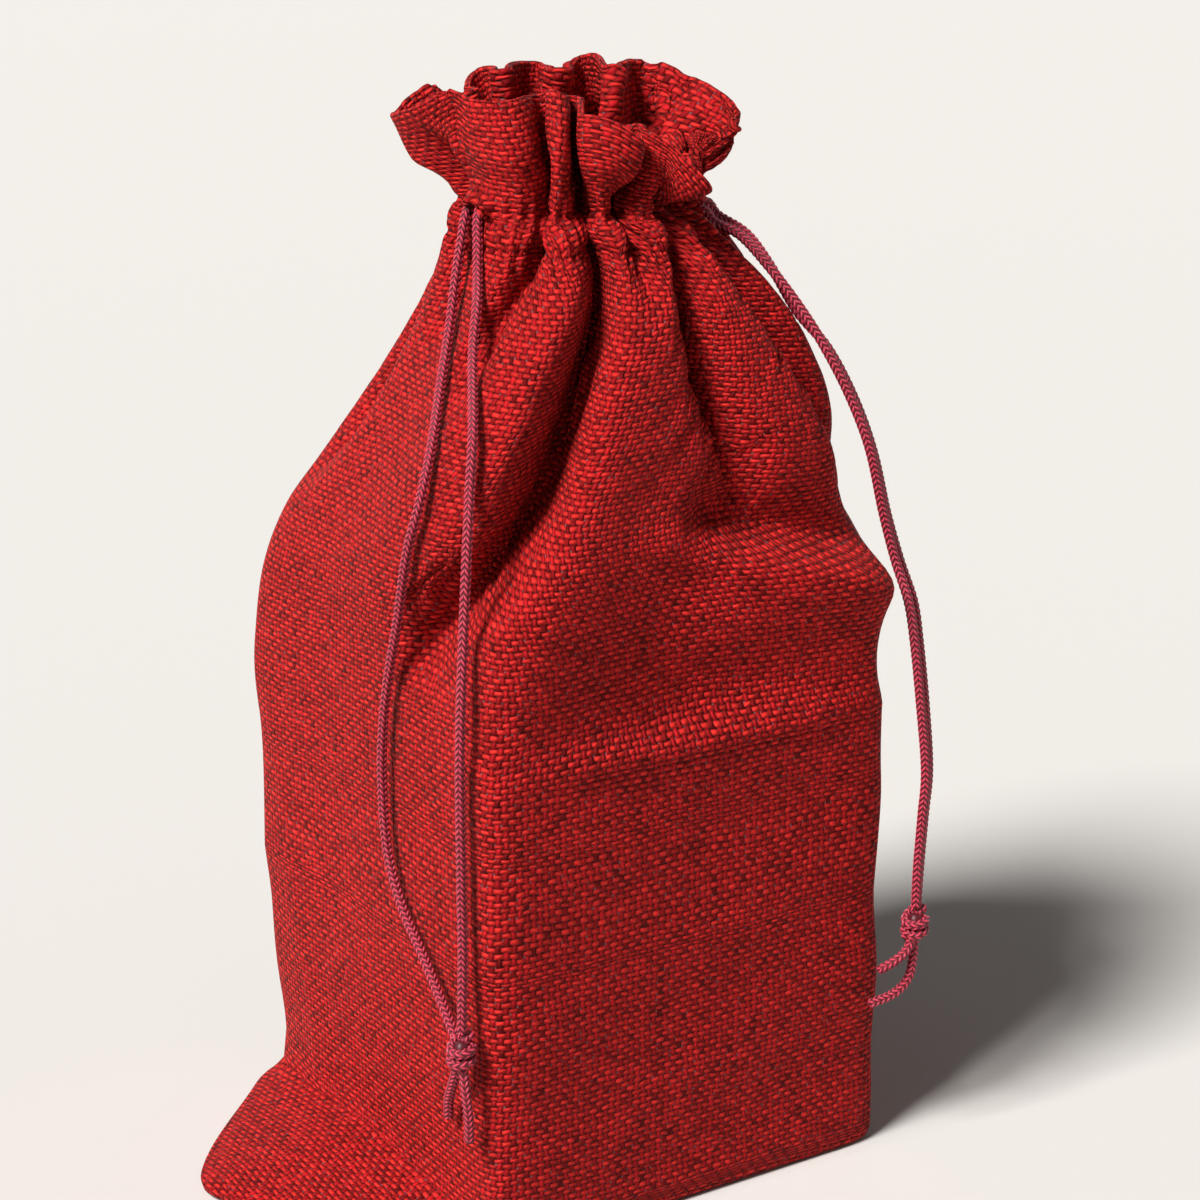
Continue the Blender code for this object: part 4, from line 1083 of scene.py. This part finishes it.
class KinchakuSettings(bpy.types.PropertyGroup):
    """Sizes and colours of the pouch that a user may change."""

    columns: bpy.props.IntProperty(
        name="Columns",
        description="Steps of cloth around the girth in the simulation",
        default=220, min=60, max=400,
    )
    settle_frames: bpy.props.IntProperty(
        name="Settle frames",
        description="Frames of cloth simulation",
        default=8, min=0, max=60,
    )
    warp_pitch: bpy.props.FloatProperty(
        name="Warp pitch",
        description="Distance between yarns that run along the bag's length",
        default=1.5 * MM, unit="LENGTH",
    )
    weft_pitch: bpy.props.FloatProperty(
        name="Weft pitch",
        description="Distance between yarns that run around the bag",
        default=1.3 * MM, unit="LENGTH",
    )
    yarn_relief: bpy.props.FloatProperty(
        name="Yarn relief",
        description="How far the yarns stand out",
        default=0.7 * MM, unit="LENGTH",
    )
    weft_colour: bpy.props.FloatVectorProperty(
        name="Weft colour",
        description="Colour of the yarns that run around the bag",
        default=linear("#D42B27"), subtype="COLOR", min=0.0, max=1.0,
    )
    warp_colour: bpy.props.FloatVectorProperty(
        name="Warp colour",
        description="Colour of the yarns that run along the bag's length",
        default=linear("#A01419"), subtype="COLOR", min=0.0, max=1.0,
    )
    # Painted shade in the gaps between yarns
    gap_shade_colour: bpy.props.FloatVectorProperty(
        name="Gap colour",
        description="Colour of the gaps between yarns",
        default=linear("#2A0306"), subtype="COLOR", min=0.0, max=1.0,
    )
    # The strands' own colour, brightest on their tops as a painted highlight
    cord_colour_and_highlight: bpy.props.FloatVectorProperty(
        name="Cord colour",
        description="Colour of the drawstrings' strands",
        default=linear("#CE3E54"), subtype="COLOR", min=0.0, max=1.0,
    )
    # Painted shade in the grooves between the drawstrings' strands
    cord_shade: bpy.props.FloatVectorProperty(
        name="Cord shade",
        description="Colour between the drawstrings' strands",
        default=linear("#4A0612"), subtype="COLOR", min=0.0, max=1.0,
    )
    hem_wall: bpy.props.FloatProperty(
        name="Hem wall",
        description="Thickness of the turned hem",
        default=1.5 * MM, unit="LENGTH",
    )
    plait_pitch: bpy.props.FloatProperty(
        name="Plait pitch",
        description="Distance between chevrons along a drawstring",
        default=1.28 * MM, unit="LENGTH",
    )
    ribs: bpy.props.IntProperty(
        name="Ribs",
        description="Ribs of slanting strands around a drawstring",
        default=6, min=4, max=12, step=2,
    )
    plait_relief: bpy.props.FloatProperty(
        name="Plait relief",
        description="How far a drawstring's strands stand out",
        default=0.22 * MM, unit="LENGTH",
    )
    key_strength: bpy.props.FloatProperty(
        name="Key strength",
        description="Strength of the key light",
        default=5.8, min=0.0,
    )


class OBJECT_OT_kinchaku_drawstrings(bpy.types.Operator):
    """Plait the four hanging strands and their knots"""

    bl_idname = "object.kinchaku_drawstrings"
    bl_label = "Drawstrings"

    def execute(self, context):
        settings = context.scene.kinchaku
        material = cord_material(settings)
        for string in DRAWSTRINGS:
            knot = self.add_knot(string, settings, material)
            for number, strand in (("one", string.strand_one), ("two", string.strand_two)):
                route = strand_route(string, strand)
                name = f"{string.side}_strand_{number}"
                mesh = plaited_tube(name, route, settings, (False, False))
                piece = add_piece(name, mesh, material)
                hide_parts(f"{string.side}_drawstring")
                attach(piece, "root")
        return {"FINISHED"}

    def add_knot(self, string, settings, material):
        """Both strands tied in one overhand knot, with their two tails."""
        middle = np.array(string.knot) * MM
        radius = CORD_DIAMETER / 2
        turn = np.linspace(0.0, 2 * math.pi * KNOT_TURNS, 90)
        spread = KNOT_WIDTH / 2 - radius
        rise = np.linspace(0.5, -0.5, len(turn)) * (KNOT_LENGTH - 2.6 * radius)
        bulge = np.sqrt(np.clip(1 - (1.1 * rise / KNOT_LENGTH) ** 2, 0.2, 1.0))
        lean = 0.38 * spread * np.cos(turn)
        reach = spread * bulge
        wraps = middle + np.stack([reach * np.cos(turn), reach * np.sin(turn), rise + lean], axis=1)
        to_end = np.array([0.0, 0.0, 0.3 * KNOT_LENGTH])
        parts = [np.concatenate([[middle + to_end], wraps, [middle - to_end]])]
        for tail in string.tails:
            parts.append(smooth_route([middle] + [np.array(point) * MM for point in tail], 12))
        bm = bmesh.new()
        for number, route in enumerate(parts):
            mesh = plaited_tube("part", route, settings, (number == 0, True))
            bm.from_mesh(mesh)
            bpy.data.meshes.remove(mesh)
        core = bmesh.ops.create_uvsphere(bm, u_segments=16, v_segments=10, radius=0.5)["verts"]
        width = KNOT_WIDTH - 2.4 * radius
        bmesh.ops.scale(bm, vec=(width, width, KNOT_LENGTH - 2 * radius), verts=core)
        bmesh.ops.translate(bm, vec=middle, verts=core)
        mesh = mesh_from(bm, f"{string.side}_tied_knot")
        mesh.shade_smooth()
        knot = add_piece(f"{string.side}_tied_knot", mesh, material)
        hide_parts(f"{string.side}_knot")
        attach(knot, "root")
        return knot


class OBJECT_OT_kinchaku_cloth(bpy.types.Operator):
    """Fold, settle and weave the bag's cloth"""

    bl_idname = "object.kinchaku_cloth"
    bl_label = "Cloth"

    def execute(self, context):
        settings = context.scene.kinchaku
        sheet = start_cloth(settings.columns)
        settled = sheet.points
        settled = settle(sheet, settings.columns, settings.settle_frames)
        strands = [strand for string in DRAWSTRINGS for strand in (string.strand_one, string.strand_two)]
        routes = [smooth_route(np.array(strand) * MM) for strand in strands]
        neck_length = sheet.lengths[sheet.neck_row]
        upper, lengths = finer_cloth(settled, sheet, settings.columns * 5 // 2)
        upper = drawn_casing(upper, lengths, neck_length)
        upper = clear_of_cords(upper, routes, CORD_DIAMETER / 2 + 0.25 * MM)
        skin, lengths = whole_skin(upper, lengths, neck_length, settings.hem_wall)
        columns = skin.shape[1]
        mesh = wrapped_grid("pouch_cloth", skin, np.arange(columns + 1) * GIRTH / columns, lengths)
        lay_weave_flat(mesh)
        cloth = add_piece("pouch_cloth", mesh, cloth_material(settings))
        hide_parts("pouch")
        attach(cloth, "root")
        return {"FINISHED"}


def aim(obj, place, target):
    """The object at a place, with its -Z axis toward the target."""
    obj.location = place
    obj.rotation_euler = (Vector(target) - Vector(place)).to_track_quat("-Z", "Y").to_euler()


class OBJECT_OT_kinchaku_stage(bpy.types.Operator):
    """Set the floor, the two broad lights, the white surroundings and the camera"""

    bl_idname = "object.kinchaku_stage"
    bl_label = "Stage"

    def execute(self, context):
        scene = context.scene
        settings = scene.kinchaku
        bm = bmesh.new()
        bmesh.ops.create_grid(bm, x_segments=1, y_segments=1, size=20.0)
        paper = plain_material("matt_paper_floor", "#C9C5C0", 0.9)
        floor = add_piece("floor", mesh_from(bm, "floor"), paper)
        floor.location = (0.0, 0.0, -0.0001)
        broad_lights = (
            ("key_light", settings.key_strength, 18.0, (-0.66, -0.12, 0.74)),
            ("fill_light", 0.05, 70.0, (0.4, -1.0, 0.6)),
        )
        for name, strength, spread, place in broad_lights:
            data = bpy.data.lights.new(name, "SUN")
            data.energy = strength
            data.angle = math.radians(spread)
            light = add_object(name, data)
            aim(light, place, (0.0, 0.0, 0.0))
        world = bpy.data.worlds.new("white_surroundings")
        world.use_nodes = True
        scene.world = world
        tree = world.node_tree
        # The surroundings look white to the camera and in gloss, but light the pouch only faintly
        rays = add_node(tree, "ShaderNodeLightPath").outputs
        seen = rays["Is Camera Ray"]
        either = {"operation": "MAXIMUM"}
        for ray in ("Is Glossy Ray", "Is Transmission Ray"):
            seen = add_node(tree, "ShaderNodeMath", either, in_0=seen, in_1=rays[ray]).outputs[0]
        strength = add_node(tree, "ShaderNodeMapRange", in_0=seen, in_3=0.10, in_4=1.0).outputs[0]
        background = tree.nodes["Background"]
        background.inputs["Color"].default_value = (1.0, 1.0, 1.0, 1.0)
        tree.links.new(strength, background.inputs["Strength"])

        azimuth, elevation = math.radians(CAMERA_AZIMUTH), math.radians(CAMERA_ELEVATION)
        level = math.cos(elevation)
        back = Vector((math.sin(azimuth) * level, -math.cos(azimuth) * level, math.sin(elevation)))
        right = (-back).cross(Vector((0.0, 0.0, 1.0))).normalized()
        up = right.cross(-back)
        data = bpy.data.cameras.new("photo_camera")
        data.lens = CAMERA_LENS
        data.sensor_width = 36.0
        camera = add_object("photo_camera", data)
        turned = Matrix((right, up, back)).transposed().to_4x4()
        camera.matrix_world = Matrix.Translation(CAMERA_PLACE) @ turned
        scene.camera = camera
        scene.view_settings.view_transform = "Standard"
        return {"FINISHED"}


class VIEW3D_PT_kinchaku(bpy.types.Panel):
    """The pouch's settings and operators in the sidebar"""

    bl_label = "Kinchaku pouch"
    bl_idname = "VIEW3D_PT_kinchaku"
    bl_space_type = "VIEW_3D"
    bl_region_type = "UI"
    bl_category = "Kinchaku"

    def draw(self, context):
        settings = context.scene.kinchaku
        for name in KinchakuSettings.__annotations__:
            self.layout.prop(settings, name)
        for operator in OPERATORS:
            self.layout.operator(operator.bl_idname)


OPERATORS = (OBJECT_OT_kinchaku_drawstrings, OBJECT_OT_kinchaku_cloth, OBJECT_OT_kinchaku_stage)
CLASSES = (KinchakuSettings, *OPERATORS, VIEW3D_PT_kinchaku)


def register():
    for cls in CLASSES:
        bpy.utils.register_class(cls)
    bpy.types.Scene.kinchaku = bpy.props.PointerProperty(type=KinchakuSettings)


def unregister():
    del bpy.types.Scene.kinchaku
    for cls in reversed(CLASSES):
        bpy.utils.unregister_class(cls)


def main():
    register()
    bpy.ops.object.kinchaku_drawstrings()
    bpy.ops.object.kinchaku_cloth()
    bpy.ops.object.kinchaku_stage()
    bpy.context.view_layer.update()


if __name__ == "__main__":
    main()
